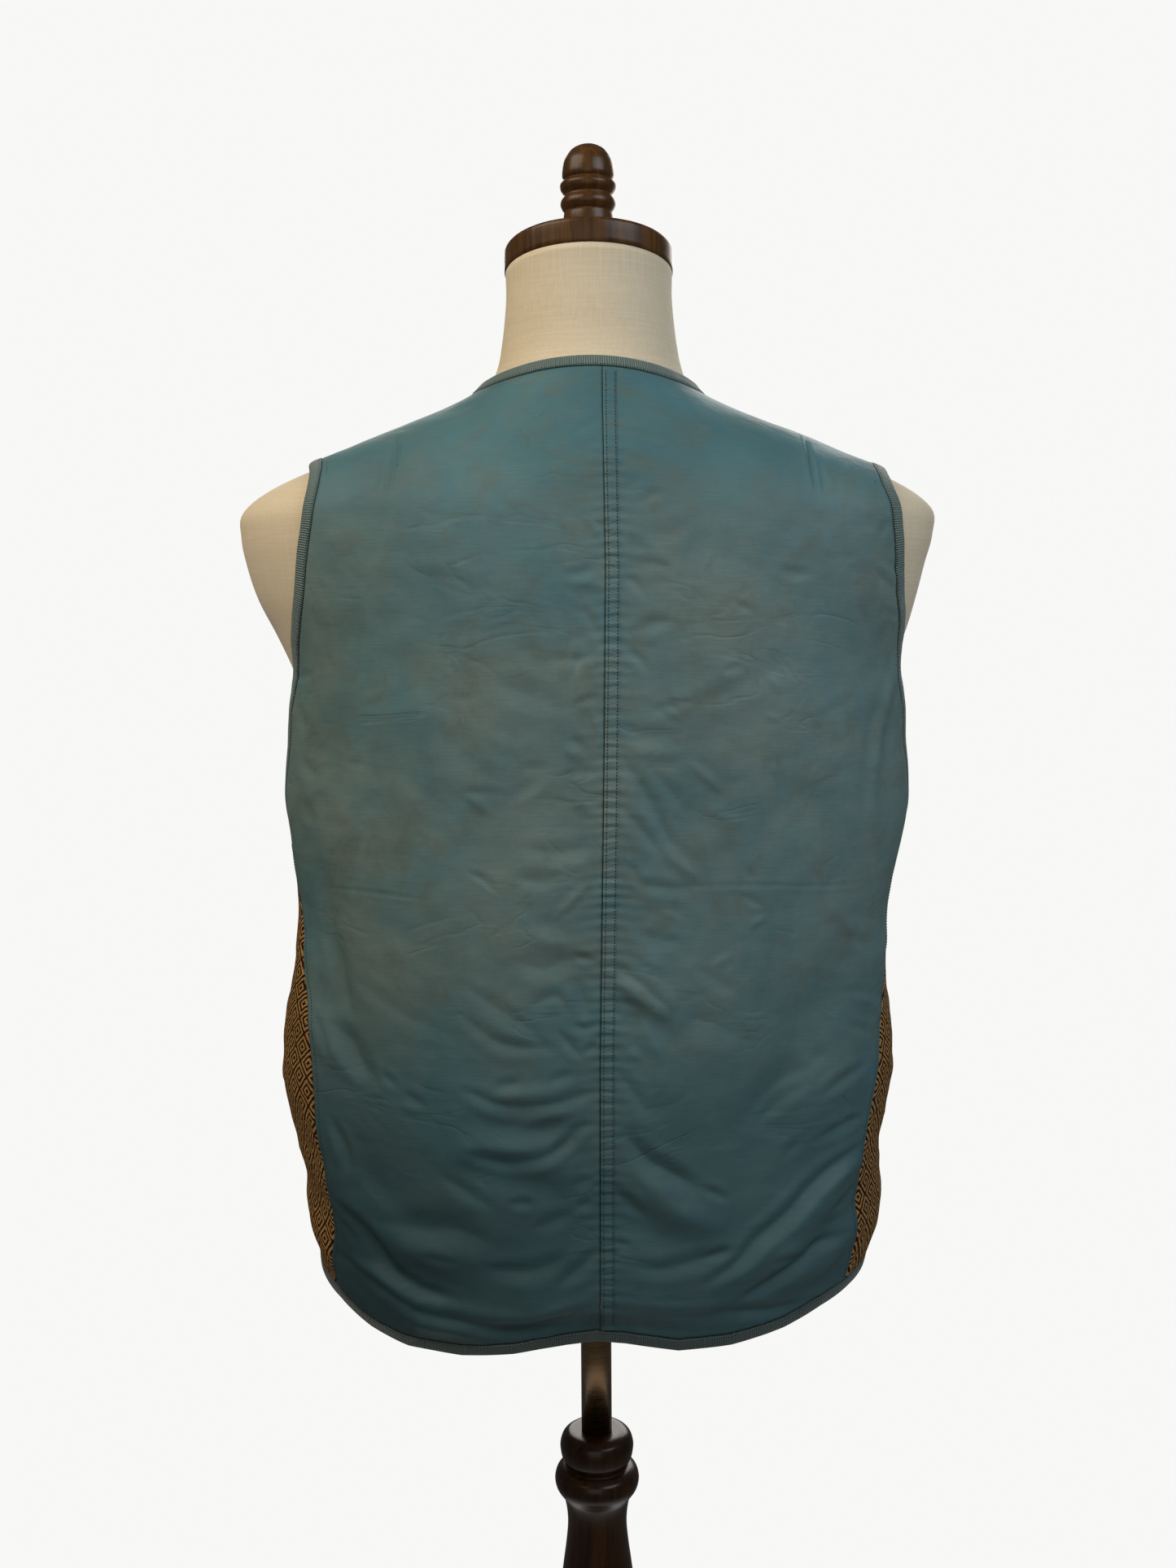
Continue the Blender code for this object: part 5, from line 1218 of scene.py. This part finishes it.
def steel_finish(look):
    """Drawn steel tube, ground round its girth: a metal with faint rings, coloured brown as a painted reflection of
    brown surroundings.
    """
    material, tree, shader = new_material("DrawnSteel", Metallic=1.0)
    # Grinding marks 0.8 mm apart.
    rings = streaks(tree, add(tree, "TexCoord").outputs["Object"], (14.0, 14.0, 1250.0), 3.0)
    tree.links.new(ranged(tree, rings, 0.3, 0.7, 0.26, 0.42), shader.inputs["Roughness"])
    # Painted reflection: both steel colours are brown, standing for the brown surroundings that the pole reflects.
    colour = mixed(tree, linear(look.steel_reflection_deep), linear(look.steel_reflection_pale), ranged(tree, rings, 0.3, 0.7))
    dress(tree, shader, colour, (rings, 0.1, 0.0002))
    return material


def thread_finish(name, deep, pale):
    """Twisted cotton sewing thread: matt, with its shade changing every few stitches."""
    material, tree, shader = new_material(name, Roughness=0.8)
    # Shade changes over about 5 mm.
    shade = noise(tree, add(tree, "TexCoord").outputs["Object"], 200.0, 1.0).outputs[0]
    tree.links.new(mixed(tree, linear(deep), linear(pale), ranged(tree, shade, 0.4, 0.6)),
                   shader.inputs["Base Color"])
    return material


def floor_finish():
    """Matt white studio paper, with a very faint mottle, that fades into the backdrop 0.24 to 0.7 m out."""
    material, tree, shader = new_material("StudioPaper", Roughness=0.95, Emission_Strength=0.42)
    shader.inputs["Emission Color"].default_value = linear("#fbfbfa")
    place = add(tree, "TexCoord").outputs["Object"]
    mottle = add(tree, "TexNoise", {"Scale": 3.0, "Detail": 2.0}, {"Vector": place}).outputs[0]
    tree.links.new(mixed(tree, linear("#f4f3f1"), linear("#fafafa"), mottle), shader.inputs["Base Color"])
    away = add(tree, "VectorMath", links={0: place}, operation="LENGTH").outputs[1]
    tree.links.new(ranged(tree, away, 0.24, 0.7, 1.0, 0.0), shader.inputs["Alpha"])
    return material


def surround_of(studio):
    """A dim room that lights the part from all round, seen by the camera as a plain pale backdrop."""
    world = bpy.data.worlds.new("pale_surround")
    world.use_nodes = True
    tree = world.node_tree
    room = tree.nodes["Background"]
    room.inputs["Color"].default_value = linear("#fbfcfd")
    room.inputs["Strength"].default_value = studio.surround
    paper = add(tree, "Background", {"Color": linear("#fbfbfa"), "Strength": studio.paper})
    seen = add(tree, "LightPath").outputs["Is Camera Ray"]
    both = add(tree, "MixShader", links={0: seen, 1: room.outputs[0], 2: paper.outputs[0]})
    tree.links.new(both.outputs[0], tree.nodes["World Output"].inputs["Surface"])
    return world


def finish_of(name):
    """The material of this name, made on its first use."""
    made = bpy.data.materials.get(name)
    if made is not None:
        return made
    look = bpy.context.scene.vest_look
    upright, lying = (0.0, 0.0, 0.0), (0.0, math.pi / 2, 0.0)
    maker, *values = {
        "AcetateSatin": (satin_finish, look),
        "CottonJacquard": (figured_finish, look),
        "RibbedTape": (tape_finish, look),
        "PlainLinen": (linen_finish, look),
        "LacqueredWalnut": (walnut_finish, name, look.walnut_deep, look.walnut_pale, 0.34, upright),
        "WalnutDisc": (walnut_finish, name, look.walnut_deep, look.walnut_pale, 0.38, lying),
        "StainedWalnut": (walnut_finish, name, look.stand_deep, look.stand_pale, 0.30, upright),
        "DrawnSteel": (steel_finish, look),
        "TealThread": (thread_finish, name, look.teal_thread, look.teal_thread_pale),
        "BrownThread": (thread_finish, name, look.brown_thread, look.brown_thread_pale),
    }[name]
    return maker(*values)


# The lines that the panels share


def edge_lines():
    """The lines of the armholes, neck, fronts, side seams and hem, each finely spaced, for all pieces."""
    lines = {"arm": {}, "seam": {}}
    for side in (1, -1):
        edge = armhole(side)
        lines["arm"][side] = {
            "edge": edge,
            "tape": inset(edge, BINDING_WIDTH, side),
            "panel": inset(edge, BINDING_WIDTH + BINDING_GAP, side),
            "under": (len(ARMHOLE_LEFT) - 1) * SPLINE_STEPS,
        }
        lines["seam"][side] = side_seam(side)
    edge = neck_and_fronts()
    panel_line = inset(edge, BINDING_WIDTH + BINDING_GAP, -1)
    near_neck = np.where(edge[:, 1] > NECK_AT_SIDE - BINDING_WIDTH, 0.0, 2 * np.pi)
    above = edge[:, 1] - hem_height(edge[:, 0])
    lines["neck"] = {
        "edge": edge,
        "tape": inset(edge, BINDING_WIDTH, -1),
        "panel": panel_line,
        "left": int(np.argmin(np.abs(panel_line[:, 0] - np.pi / 2) + near_neck)),
        "right": int(np.argmin(np.abs(panel_line[:, 0] + np.pi / 2) + near_neck)),
        "back": int(np.argmin(np.abs(edge[:, 0] - centre_back(np.array([NECK_AT_BACK]))[0]))),
        "low_left": int(np.argmax(above >= HEM_LINE)),
        "low_right": len(edge) - 1 - int(np.argmax(above[::-1] >= HEM_LINE)),
        "end_left": int(np.argmax(above >= 0)),
        "end_right": len(edge) - 1 - int(np.argmax(above[::-1] >= 0)),
    }
    return lines


LINES = edge_lines()


def side_line(side, lowest):
    """The back panel's line down its armhole, and its line down the side seam to this height over the hem."""
    arm = LINES["arm"][side]["panel"][: LINES["arm"][side]["under"] + 1].copy()
    arm[0, 0] = arm[-1, 0] = side * np.pi / 2
    seam = LINES["seam"][side]
    seam = np.concatenate([arm[-1:], seam[seam[:, 1] < arm[-1, 1] - 1]])
    return arm, down_to_hem(seam, lowest)


def hem_between(first, last, across):
    """The panels' line above the hem binding, at these shares from one angle to another."""
    turns = first + (last - first) * across
    return np.stack([turns, hem_height(turns) + HEM_LINE], axis=1)


def back_grid(side):
    """Angles and heights of half of the back: centre seam, neck, shoulder seam, armhole, side seam and hem."""
    neck = LINES["neck"]
    arm, seam = side_line(side, HEM_LINE)
    low, high = sorted((neck["back"], neck["left"] if side > 0 else neck["right"]))
    top = neck["panel"][low : high + 1][::-1] if side > 0 else neck["panel"][low : high + 1]
    top = top.copy()
    top[-1, 0] = side * np.pi / 2
    count = int(lengths_of(seam)[-1] / ROW_SPACING)
    arm_even = taken(arm, np.linspace(0, 1, ARM_SHARE + 1))
    last = np.concatenate([
        np.linspace(top[-1], arm[0], SHOULDER_SHARE + 1)[:-1],
        arm_even[:-1],
        taken(seam, np.linspace(0, 1, count + 1)),
    ])
    lowest = HEM_AT_SEAM + HEM_LINE
    heights = np.concatenate([
        np.linspace(top[0, 1], arm[0, 1] + YOKE_RISE, SHOULDER_SHARE + 1)[:-1],
        np.linspace(arm[0, 1] + YOKE_RISE, arm[-1, 1], ARM_SHARE + 1)[:-1],
        np.linspace(arm[-1, 1], lowest, count + 1),
    ])
    first, last = moved(seam_line(heights), side, PANEL_GAP / 2), moved(last, -side, PANEL_GAP / 2)
    across = even_columns(BACK_WIDTH, BACK_SPACING)
    top = taken(top, across)
    bottom = hem_between(first[-1, 0], last[-1, 0], across)
    top[0], top[-1] = first[0], last[0]
    return patch(first, last, top, bottom, across)


def front_grid(side):
    """Angles and heights of one front: neckline and front edge, shoulder seam, armhole, side seam and hem."""
    neck = LINES["neck"]
    if side > 0:
        first = neck["panel"][neck["low_left"] : neck["left"] + 1][::-1].copy()
    else:
        first = neck["panel"][neck["right"] : neck["low_right"] + 1].copy()
    arm = LINES["arm"][side]["panel"][LINES["arm"][side]["under"] :][::-1].copy()
    seam = side_line(side, HEM_LINE)[1]
    first[0, 0] = arm[0, 0] = arm[-1, 0] = side * np.pi / 2
    last = np.concatenate([
        taken(arm, np.linspace(0, 1, FRONT_ARM_ROWS))[:-1],
        taken(seam, np.linspace(0, 1, FRONT_SEAM_ROWS)),
    ])
    first = taken(first, np.linspace(0, 1, len(last)))
    last = moved(last, side, PANEL_GAP / 2)
    first[:1] = moved(first[:1], side, PANEL_GAP / 2)
    across = even_columns(FRONT_WIDTH, FRONT_SPACING)
    bottom = hem_between(first[-1, 0], last[-1, 0], across)
    top = first[0] + (last[0] - first[0]) * across[:, None]
    return patch(first, last, top, bottom, across)


def hem_lines():
    """The hem binding's lower and upper lines, from front edge to front edge round the back."""
    neck = LINES["neck"]
    start, end = neck["panel"][neck["low_left"], 0], neck["panel"][neck["low_right"], 0]
    turns = np.linspace(start, end, HEM_STEPS)
    low = np.stack([turns, hem_height(turns)], axis=1)
    return low, low + (0, HEM_BINDING_WIDTH)


def place_piece(item, slot, *nodes):
    """Fixes a finished piece to the body and hides the solids that it stands for. Its slot is not used."""
    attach(item, "root")
    if nodes:
        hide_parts(*nodes)
    return item


def shade_of(label, meaning, code):
    """A colour in the panel, as an sRGB hex value."""
    return bpy.props.StringProperty(name=label, description=meaning, default=code)


def size_of(label, meaning, size):
    """A pattern's size in the panel, in mm."""
    return bpy.props.FloatProperty(name=label, description=meaning, default=size, min=0.4, max=40.0)


def light_of(label, meaning, power, unit="POWER"):
    """A light's power in the panel, or a strength with no unit."""
    return bpy.props.FloatProperty(name=label, description=meaning, default=power, min=0.0, unit=unit)


class VestLook(bpy.types.PropertyGroup):
    """Colours and pattern sizes of the vest, the form and the stand."""

    satin_deep: shade_of("Satin, deep", "Satin's darker shade", "#3c6269")
    satin_pale: shade_of("Satin, pale", "Satin's paler shade", "#4b777e")
    satin_soiled: shade_of("Satin, soiled", "Satin where soiled", "#6e807a")
    # Painted shade: the dark teal laid over the lowest 300 mm of the satin.
    satin_low_shade: shade_of("Satin, painted low shade", "Satin low down", "#20373c")
    satin_marked: shade_of("Satin, marked", "Marks of handling", "#5d665a")
    yarn_tan: shade_of("Tan yarn", "Raised yarn of the fronts", "#96703f")
    yarn_pale: shade_of("Pale yarn", "Palest raised yarn", "#b08b5c")
    yarn_dark: shade_of("Dark yarn", "Ground yarn of the fronts", "#231005")
    diamond_width: size_of("Diamond width", "Width of a woven diamond, in mm", 18.5)
    diamond_height: size_of("Diamond height", "Height of a woven diamond, in mm", 19.0)
    tape_pale: shade_of("Tape, pale", "Tops of the tape's ribs", "#687f79")
    tape_worn: shade_of("Tape, worn", "Tape where worn", "#77887e")
    # Painted shade between the tape's ribs.
    tape_rib_shade: shade_of("Tape, deep", "Between the tape's ribs", "#3f5656")
    # Painted shade on the tape near the hem.
    tape_hem_shade: shade_of("Tape, painted hem shade", "Tape at the hem", "#2b3a39")
    rib_spacing: size_of("Rib spacing", "Distance between the tape's ribs, in mm", 1.5)
    teal_thread: shade_of("Teal thread", "Darker shade of the teal thread", "#162529")
    teal_thread_pale: shade_of("Teal thread, pale", "Paler shade of the teal thread", "#1f3136")
    brown_thread: shade_of("Brown thread", "Darker shade of the brown thread", "#241a15")
    brown_thread_pale: shade_of("Brown thread, pale", "Paler shade of the brown thread", "#33271f")
    linen_pale: shade_of("Linen, pale", "Linen's paler thread", "#dccfb4")
    linen_deep: shade_of("Linen, deep", "Linen's darker thread", "#cfbf9f")
    walnut_pale: shade_of("Walnut, pale", "Paler grain", "#5c3d1a")
    walnut_deep: shade_of("Walnut, deep", "Darker grain", "#38220c")
    stand_pale: shade_of("Stand, pale", "Paler grain of the stand", "#382009")
    stand_deep: shade_of("Stand, deep", "Darker grain of the stand", "#1a0e06")
    # Painted reflection: the steel's brown colours stand for the brown surroundings it reflects.
    steel_reflection_pale: shade_of("Steel, pale", "Steel's paler marks", "#8d7356")
    steel_reflection_deep: shade_of("Steel, deep", "Steel's darker marks", "#775f45")


class VestStudio(bpy.types.PropertyGroup):
    """Lights of the studio."""

    left_power: light_of("Left light", "Power of the warmer light behind the vest", 16.0)
    right_power: light_of("Right light", "Power of the cooler light behind the vest", 15.5)
    front_power: light_of("Front light", "Power of the light on the vest's fronts", 34.0)
    fill_power: light_of("Fill light", "Power of the soft light by the camera", 8.0)
    surround: light_of("Surround", "Light from the room all round", 0.09, "NONE")
    paper: light_of("Backdrop", "Brightness of the backdrop as it is seen", 0.97, "NONE")


class VEST_OT_backs(bpy.types.Operator):
    """Make the two satin halves of the back"""

    bl_idname = "vest.backs"
    bl_label = "Satin backs"

    def execute(self, context):
        satin = finish_of("AcetateSatin")
        for side, node in ((1, "back_left"), (-1, "back_right")):
            item = panel("satin_" + node, back_grid(side), BACK_WALL, satin)
            place_piece(item, "teal_satin", node)
        return {"FINISHED"}


class VEST_OT_fronts(bpy.types.Operator):
    """Make the two figured fronts"""

    bl_idname = "vest.fronts"
    bl_label = "Figured fronts"

    def execute(self, context):
        figured = finish_of("CottonJacquard")
        for side, node in ((1, "front_left"), (-1, "front_right")):
            item = panel("figured_" + node, front_grid(side), FRONT_WALL, figured, roll=0.9, roll_width=1.2)
            place_piece(item, "figured_brown_cloth", node)
        return {"FINISHED"}


class VEST_OT_seam_strip(bpy.types.Operator):
    """Make the felled strip beside the centre back seam"""

    bl_idname = "vest.seam_strip"
    bl_label = "Seam strip"

    def execute(self, context):
        heights = np.linspace(NECK_AT_BACK - BINDING_WIDTH - 1.4, HEM_AT_SEAM + HEM_LINE + 0.3, STRIP_ROWS)
        first = moved(seam_line(heights), -1, PANEL_GAP / 2)
        far = moved(first, -1, STRIP_WIDTH)
        share = np.array(STRIP_SHARES)
        grid = first[:, None] * (1 - share[None, :, None]) + far[:, None] * share[None, :, None]
        z = grid[..., 1]
        x = share * STRIP_WIDTH
        # Each stitch draws the strip in, so small ridges cross it, uneven in height and slant.
        slant = 0.3 * soft_noise(z * 0 + 3.0, z, 11.0, 21) * (x - 4.0)
        phase = 2 * np.pi * (z + slant + 0.7 * soft_noise(0 * z, z, 9.0, 22)) / RIDGE_SPACING
        ridge = (0.12 + 0.05 * soft_noise(0 * z, z, 6.0, 23)) * np.sin(phase)
        grooves = sum(GROOVE_DEPTH * np.exp(-(((x - away) / GROOVE_WIDTH) ** 2)) for away in GROOVES_AWAY)
        lift = STRIP_LIFT + STRIP_CROWN * np.sin(np.pi * share) ** 0.5 + ridge - grooves
        item = panel("satin_seam_strip", grid, 0.8, finish_of("AcetateSatin"), roll=0.25, roll_width=0.5, lift=lift)
        place_piece(item, "teal_satin", "back_seam_strip")
        return {"FINISHED"}


class VEST_OT_darts(bpy.types.Operator):
    """Make the two short darts below the shoulders"""

    bl_idname = "vest.darts"
    bl_label = "Darts"

    def execute(self, context):
        for name, path in DARTS.items():
            side = 1 if path[0][0] > 0 else -1
            line = spline([(turn_at(z, away, 0, side * np.pi / 2), z) for away, z in path], 12)
            share = np.linspace(0, 1, 7)
            grid = line[:, None] * (1 - share[None, :, None]) + inset(line, DART_WIDTH, side)[:, None] * share[:, None]
            fade = np.sin(np.pi * np.linspace(0.06, 1, len(line)) ** 0.8) ** 0.7
            lift = (0.15 + 0.40 * np.sin(np.pi * share[None, :])) * fade[:, None]
            item = panel("satin_" + name, grid, 0.9, finish_of("AcetateSatin"), roll=0.1, roll_width=0.4, lift=lift)
            place_piece(item, "teal_satin", name)
        return {"FINISHED"}


class VEST_OT_bindings(bpy.types.Operator):
    """Make the ribbed tape round the armholes, the neck and fronts, and the hem"""

    bl_idname = "vest.bindings"
    bl_label = "Bindings"

    def execute(self, context):
        tape = finish_of("RibbedTape")
        for side, node in ((1, "armhole_binding_left"), (-1, "armhole_binding_right")):
            lines = LINES["arm"][side]
            shares = np.linspace(0, 1, ARMHOLE_STEPS + 1)[:-1]
            item = binding("tape_" + node, taken(lines["edge"], shares), matched(lines, "tape", shares), tape, True)
            place_piece(item, "ribbed_tape", node)
        lines = LINES["neck"]
        stretch = slice(lines["end_left"], lines["end_right"] + 1)
        cut = {key: lines[key][stretch] for key in ("edge", "tape")}
        shares = np.linspace(0, 1, NECK_STEPS)
        item = binding("tape_neck_and_fronts", taken(cut["edge"], shares), matched(cut, "tape", shares), tape)
        place_piece(item, "ribbed_tape", "neck_and_front_binding")
        low, high = hem_lines()
        item = binding("tape_hem", low, high, tape)
        place_piece(item, "ribbed_tape", "hem_binding")
        return {"FINISHED"}


class VEST_OT_sewing(bpy.types.Operator):
    """Make the stitches of the strip, the side seams and the bindings"""

    bl_idname = "vest.sewing"
    bl_label = "Sewing"

    def execute(self, context):
        teal, brown = finish_of("TealThread"), finish_of("BrownThread")
        heights = np.linspace(NECK_AT_BACK - BINDING_WIDTH - 3.0, HEM_AT_SEAM + HEM_BINDING_WIDTH + 2.0, STITCH_ROWS)
        seam = seam_line(heights)
        near, far = (moved(seam, -1, away) for away in STRIP_STITCHES_AWAY)
        place_piece(stitches("stitches_strip_seam_side", [(near, STRIP_STITCHES_RISE[0], 0.4)], teal), "teal_satin")
        place_piece(stitches("stitches_strip_edge", [(far, STRIP_STITCHES_RISE[1], 0.9)], brown), "teal_satin")
        rows = [(moved(side_line(side, HEM_BINDING_WIDTH + 2.0)[1], -side, SIDE_STITCHES_AWAY),
                 SIDE_STITCHES_RISE, 1.0) for side in (1, -1)]
        place_piece(stitches("stitches_side_seams", rows, teal), "teal_satin")
        neck = LINES["neck"]
        stretch = slice(neck["low_left"], neck["low_right"] + 1)
        low, high = hem_lines()
        pairs = [(lines["tape"], lines["edge"]) for lines in (LINES["arm"][1], LINES["arm"][-1])]
        pairs += [(neck["tape"][stretch], neck["edge"][stretch]), (high, low)]
        rows = [(tape * (1 - TAPE_STITCHES_SHARE) + edge * TAPE_STITCHES_SHARE, TAPE_STITCHES_RISE, 0.5)
                for tape, edge in pairs]
        place_piece(stitches("stitches_bindings", rows, teal, pitch=2.4, length=1.9, width=0.26), "ribbed_tape")
        return {"FINISHED"}


class VEST_OT_dress_form(bpy.types.Operator):
    """Make the linen torso of the dress form"""

    bl_idname = "vest.dress_form"
    bl_label = "Dress form"

    def execute(self, context):
        angle = np.linspace(0, 2 * np.pi, FORM_SIDES, endpoint=False)
        heights = np.linspace(NECK_TOP, TORSO_BOTTOM + TORSO_BOTTOM_ROUND, FORM_RINGS)
        loops = form_point(*np.meshgrid(angle, heights))
        t = np.clip((heights - NECK_LEAN_ABOVE) / (NECK_TOP - NECK_LEAN_ABOVE), 0, 1)
        loops[..., 2] += t[:, None] * NECK_TILT * loops[..., 1]
        turn = np.radians(np.linspace(15, 90, 6))
        last = loops[-1]
        shrink = TORSO_BOTTOM_ROUND * (1 - np.cos(turn))[:, None] / np.linalg.norm(last[:, :2], axis=1)
        foot = np.repeat(last[None], len(turn), axis=0)
        foot[..., :2] *= (1 - shrink)[..., None]
        foot[..., 2] -= TORSO_BOTTOM_ROUND * np.sin(turn)[:, None]
        item = loops_piece("linen_torso", np.concatenate([loops, foot]), finish_of("PlainLinen"))
        place_piece(item, "cream_linen", "form_torso")
        return {"FINISHED"}


class VEST_OT_stand(bpy.types.Operator):
    """Make the neck cap, the finial, the pole, the turned column and the base"""

    bl_idname = "vest.stand"
    bl_label = "Stand"

    def execute(self, context):
        walnut = finish_of("LacqueredWalnut")
        stained = finish_of("StainedWalnut")
        angle = np.linspace(0, 2 * np.pi, FORM_SIDES, endpoint=False)
        turn = np.radians(np.linspace(90, 0, 7))
        rise = np.concatenate([CAP_THICKNESS - CAP_ROUND * (1 - np.sin(turn)), [8.0, 3.0, 0.6, 0.0]])
        shrink = np.concatenate([CAP_ROUND * (1 - np.cos(turn)), [0.0, 0.0, 0.0, 0.5]])
        x = (CAP_HALF_WIDTH - shrink)[:, None] * np.sin(angle)
        y = (CAP_HALF_DEPTH - shrink)[:, None] * np.cos(angle)
        z = NECK_TOP + STAND_GAP + rise[:, None] + NECK_TILT * y
        item = loops_piece("walnut_neck_cap", np.stack([x, y, z], axis=2), finish_of("WalnutDisc"))
        place_piece(item, "dark_walnut", "neck_cap")
        item = lathe("walnut_finial", FINIAL, walnut, FINIAL_LEAN_BELOW)
        place_piece(item, "dark_walnut", "finial")
        pole = ((TORSO_BOTTOM - STAND_GAP, POLE_RADIUS), (POLE_BOTTOM, POLE_RADIUS))
        item = lathe("steel_pole", pole, finish_of("DrawnSteel"), steps=1)
        place_piece(item, "steel", "pole")
        item = lathe("walnut_column", COLUMN, stained)
        place_piece(item, "dark_walnut", "turned_column")
        turn = np.radians(np.linspace(90, 0, 9))
        round_edge = 1 - np.stack([np.sin(turn), np.cos(turn)], axis=1)
        base = np.array([BASE_THICKNESS, BASE_RADIUS]) - BASE_ROUND * round_edge
        base = np.concatenate([base, [(2.0, BASE_RADIUS), (0.6, BASE_RADIUS - 0.6), (0.0, BASE_RADIUS - 2.0)]])
        item = lathe("walnut_base", base, stained, around=192, steps=1)
        place_piece(item, "dark_walnut", "base_disc")
        return {"FINISHED"}


# Sheets of cloth: flat width and height in metres, area of one side in square metres, pieces that go with each
SHEETS = (
    ("satin_back_left", (0.262, 0.640), 0.137, ["satin_dart_left", "tape_armhole_binding_left"]),
    ("satin_back_right", (0.258, 0.636), 0.135, [
        "satin_seam_strip", "satin_dart_right", "tape_armhole_binding_right",
        "stitches_strip_seam_side", "stitches_strip_edge", "stitches_side_seams",
    ]),
    ("figured_front_left", (0.300, 0.640), 0.150, ["tape_neck_and_fronts", "stitches_bindings"]),
    ("figured_front_right", (0.300, 0.640), 0.147, ["tape_hem"]),
)


class VEST_OT_cloth_facts(bpy.types.Operator):
    """Look up each sheet of cloth and the linen torso by name"""

    bl_idname = "vest.cloth_facts"
    bl_label = "Cloth facts"

    def execute(self, context):
        get = bpy.data.objects.get
        for name, flat, area, pieces in SHEETS:
            get(name)
        get("linen_torso")
        return {"FINISHED"}


class VEST_OT_stage(bpy.types.Operator):
    """Make the floor, the soft lights and the camera behind the vest"""

    bl_idname = "vest.stage"
    bl_label = "Studio"

    def execute(self, context):
        studio = context.scene.vest_studio
        angle = np.linspace(0, 2 * np.pi, FLOOR_SIDES, endpoint=False)
        radius = np.array(FLOOR_RADII)[:, None]
        points = np.stack([radius * np.sin(angle), radius * np.cos(angle), 0 * radius * angle - FLOOR_DROP], axis=2)
        number = np.arange(len(FLOOR_RADII) * FLOOR_SIDES).reshape(-1, FLOOR_SIDES)
        after = np.roll(number, -1, axis=1)
        faces = np.stack([number[1:-1], number[2:], after[2:], after[1:-1]], axis=-1).reshape(-1, 4)
        fan = np.stack([np.zeros(FLOOR_SIDES, int), number[1], after[1]], axis=1)
        mesh = bpy.data.meshes.new("studio_floor")
        mesh.from_pydata((points.reshape(-1, 3) * MM).tolist(), [], faces.tolist() + fan.tolist())
        mesh.materials.append(floor_finish())
        floor = bpy.data.objects.new("studio_floor", mesh)
        context.scene.collection.objects.link(floor)
        face_out(floor)
        context.scene.world = surround_of(studio)
        lights = (
            ("left_light", (0.95, 0.55, 2.35), 1.2, 0.8, studio.left_power, "#ffefd9"),
            ("right_light", (-1.1, 1.05, 2.25), 1.2, 0.8, studio.right_power, "#eaf3ff"),
            ("fill_light", (0.25, 2.6, 1.6), 1.8, 1.6, studio.fill_power, "#fff6ea"),
            ("front_light", (-0.3, -1.7, 1.8), 1.8, 1.4, studio.front_power, "#fffaf4"),
        )
        for name, place, width, depth, power, tint in lights:
            lamp = bpy.data.lights.new(name, "AREA")
            lamp.shape = "RECTANGLE"
            lamp.size = width
            lamp.size_y = depth
            lamp.energy = power
            lamp.color = linear(tint)[:3]
            item = bpy.data.objects.new(name, lamp)
            item.location = place
            item.rotation_euler = (Vector(place) - LIGHTS_AIM).to_track_quat("Z", "Y").to_euler()
            item.visible_camera = False
            context.scene.collection.objects.link(item)
        camera = bpy.data.cameras.new("photo_camera")
        camera.sensor_fit = "AUTO"
        camera.sensor_width = SENSOR
        camera.lens = SENSOR * FOCAL_PIXELS / PHOTO_SIZE[1]
        camera.clip_start = 0.05
        camera.clip_end = 60.0
        camera.shift_x = -CAMERA_AXIS_PIXELS / PHOTO_SIZE[1]
        item = bpy.data.objects.new("photo_camera", camera)
        item.location = (0.0, CAMERA_BACK * MM, CAMERA_HEIGHT * MM)
        pitch = math.radians(90.0 - CAMERA_PITCH)
        turned = Matrix.Rotation(math.pi, 4, "Z") @ Matrix.Rotation(pitch, 4, "X")
        item.rotation_euler = (turned @ Matrix.Rotation(-CAMERA_ROLL, 4, "Z")).to_euler()
        context.scene.collection.objects.link(item)
        context.scene.camera = item
        context.scene.view_settings.view_transform = "Standard"
        return {"FINISHED"}


STEPS = (
    VEST_OT_backs,
    VEST_OT_fronts,
    VEST_OT_seam_strip,
    VEST_OT_darts,
    VEST_OT_bindings,
    VEST_OT_sewing,
    VEST_OT_dress_form,
    VEST_OT_stand,
    VEST_OT_cloth_facts,
    VEST_OT_stage,
)


class VEST_PT_pieces(bpy.types.Panel):
    """Lists the steps that dress the vest, with its colours and lights"""

    bl_idname = "VEST_PT_pieces"
    bl_label = "Liner vest"
    bl_space_type = "VIEW_3D"
    bl_region_type = "UI"
    bl_category = "Liner vest"

    def draw(self, context):
        for step in STEPS:
            self.layout.operator(step.bl_idname)
        for group in (context.scene.vest_look, context.scene.vest_studio):
            for name in group.bl_rna.properties.keys():
                if name not in ("rna_type", "name"):
                    self.layout.prop(group, name)


CLASSES = (VestLook, VestStudio, *STEPS, VEST_PT_pieces)


def register():
    """Adds the settings, steps and panel to Blender."""
    for each in CLASSES:
        bpy.utils.register_class(each)
    bpy.types.Scene.vest_look = bpy.props.PointerProperty(type=VestLook)
    bpy.types.Scene.vest_studio = bpy.props.PointerProperty(type=VestStudio)


def unregister():
    """Takes them out again."""
    del bpy.types.Scene.vest_studio
    del bpy.types.Scene.vest_look
    for each in reversed(CLASSES):
        bpy.utils.unregister_class(each)


def main():
    """Runs the steps in order."""
    register()
    for step in STEPS:
        group, name = step.bl_idname.split(".")
        getattr(getattr(bpy.ops, group), name)()


if __name__ == "__main__":
    main()
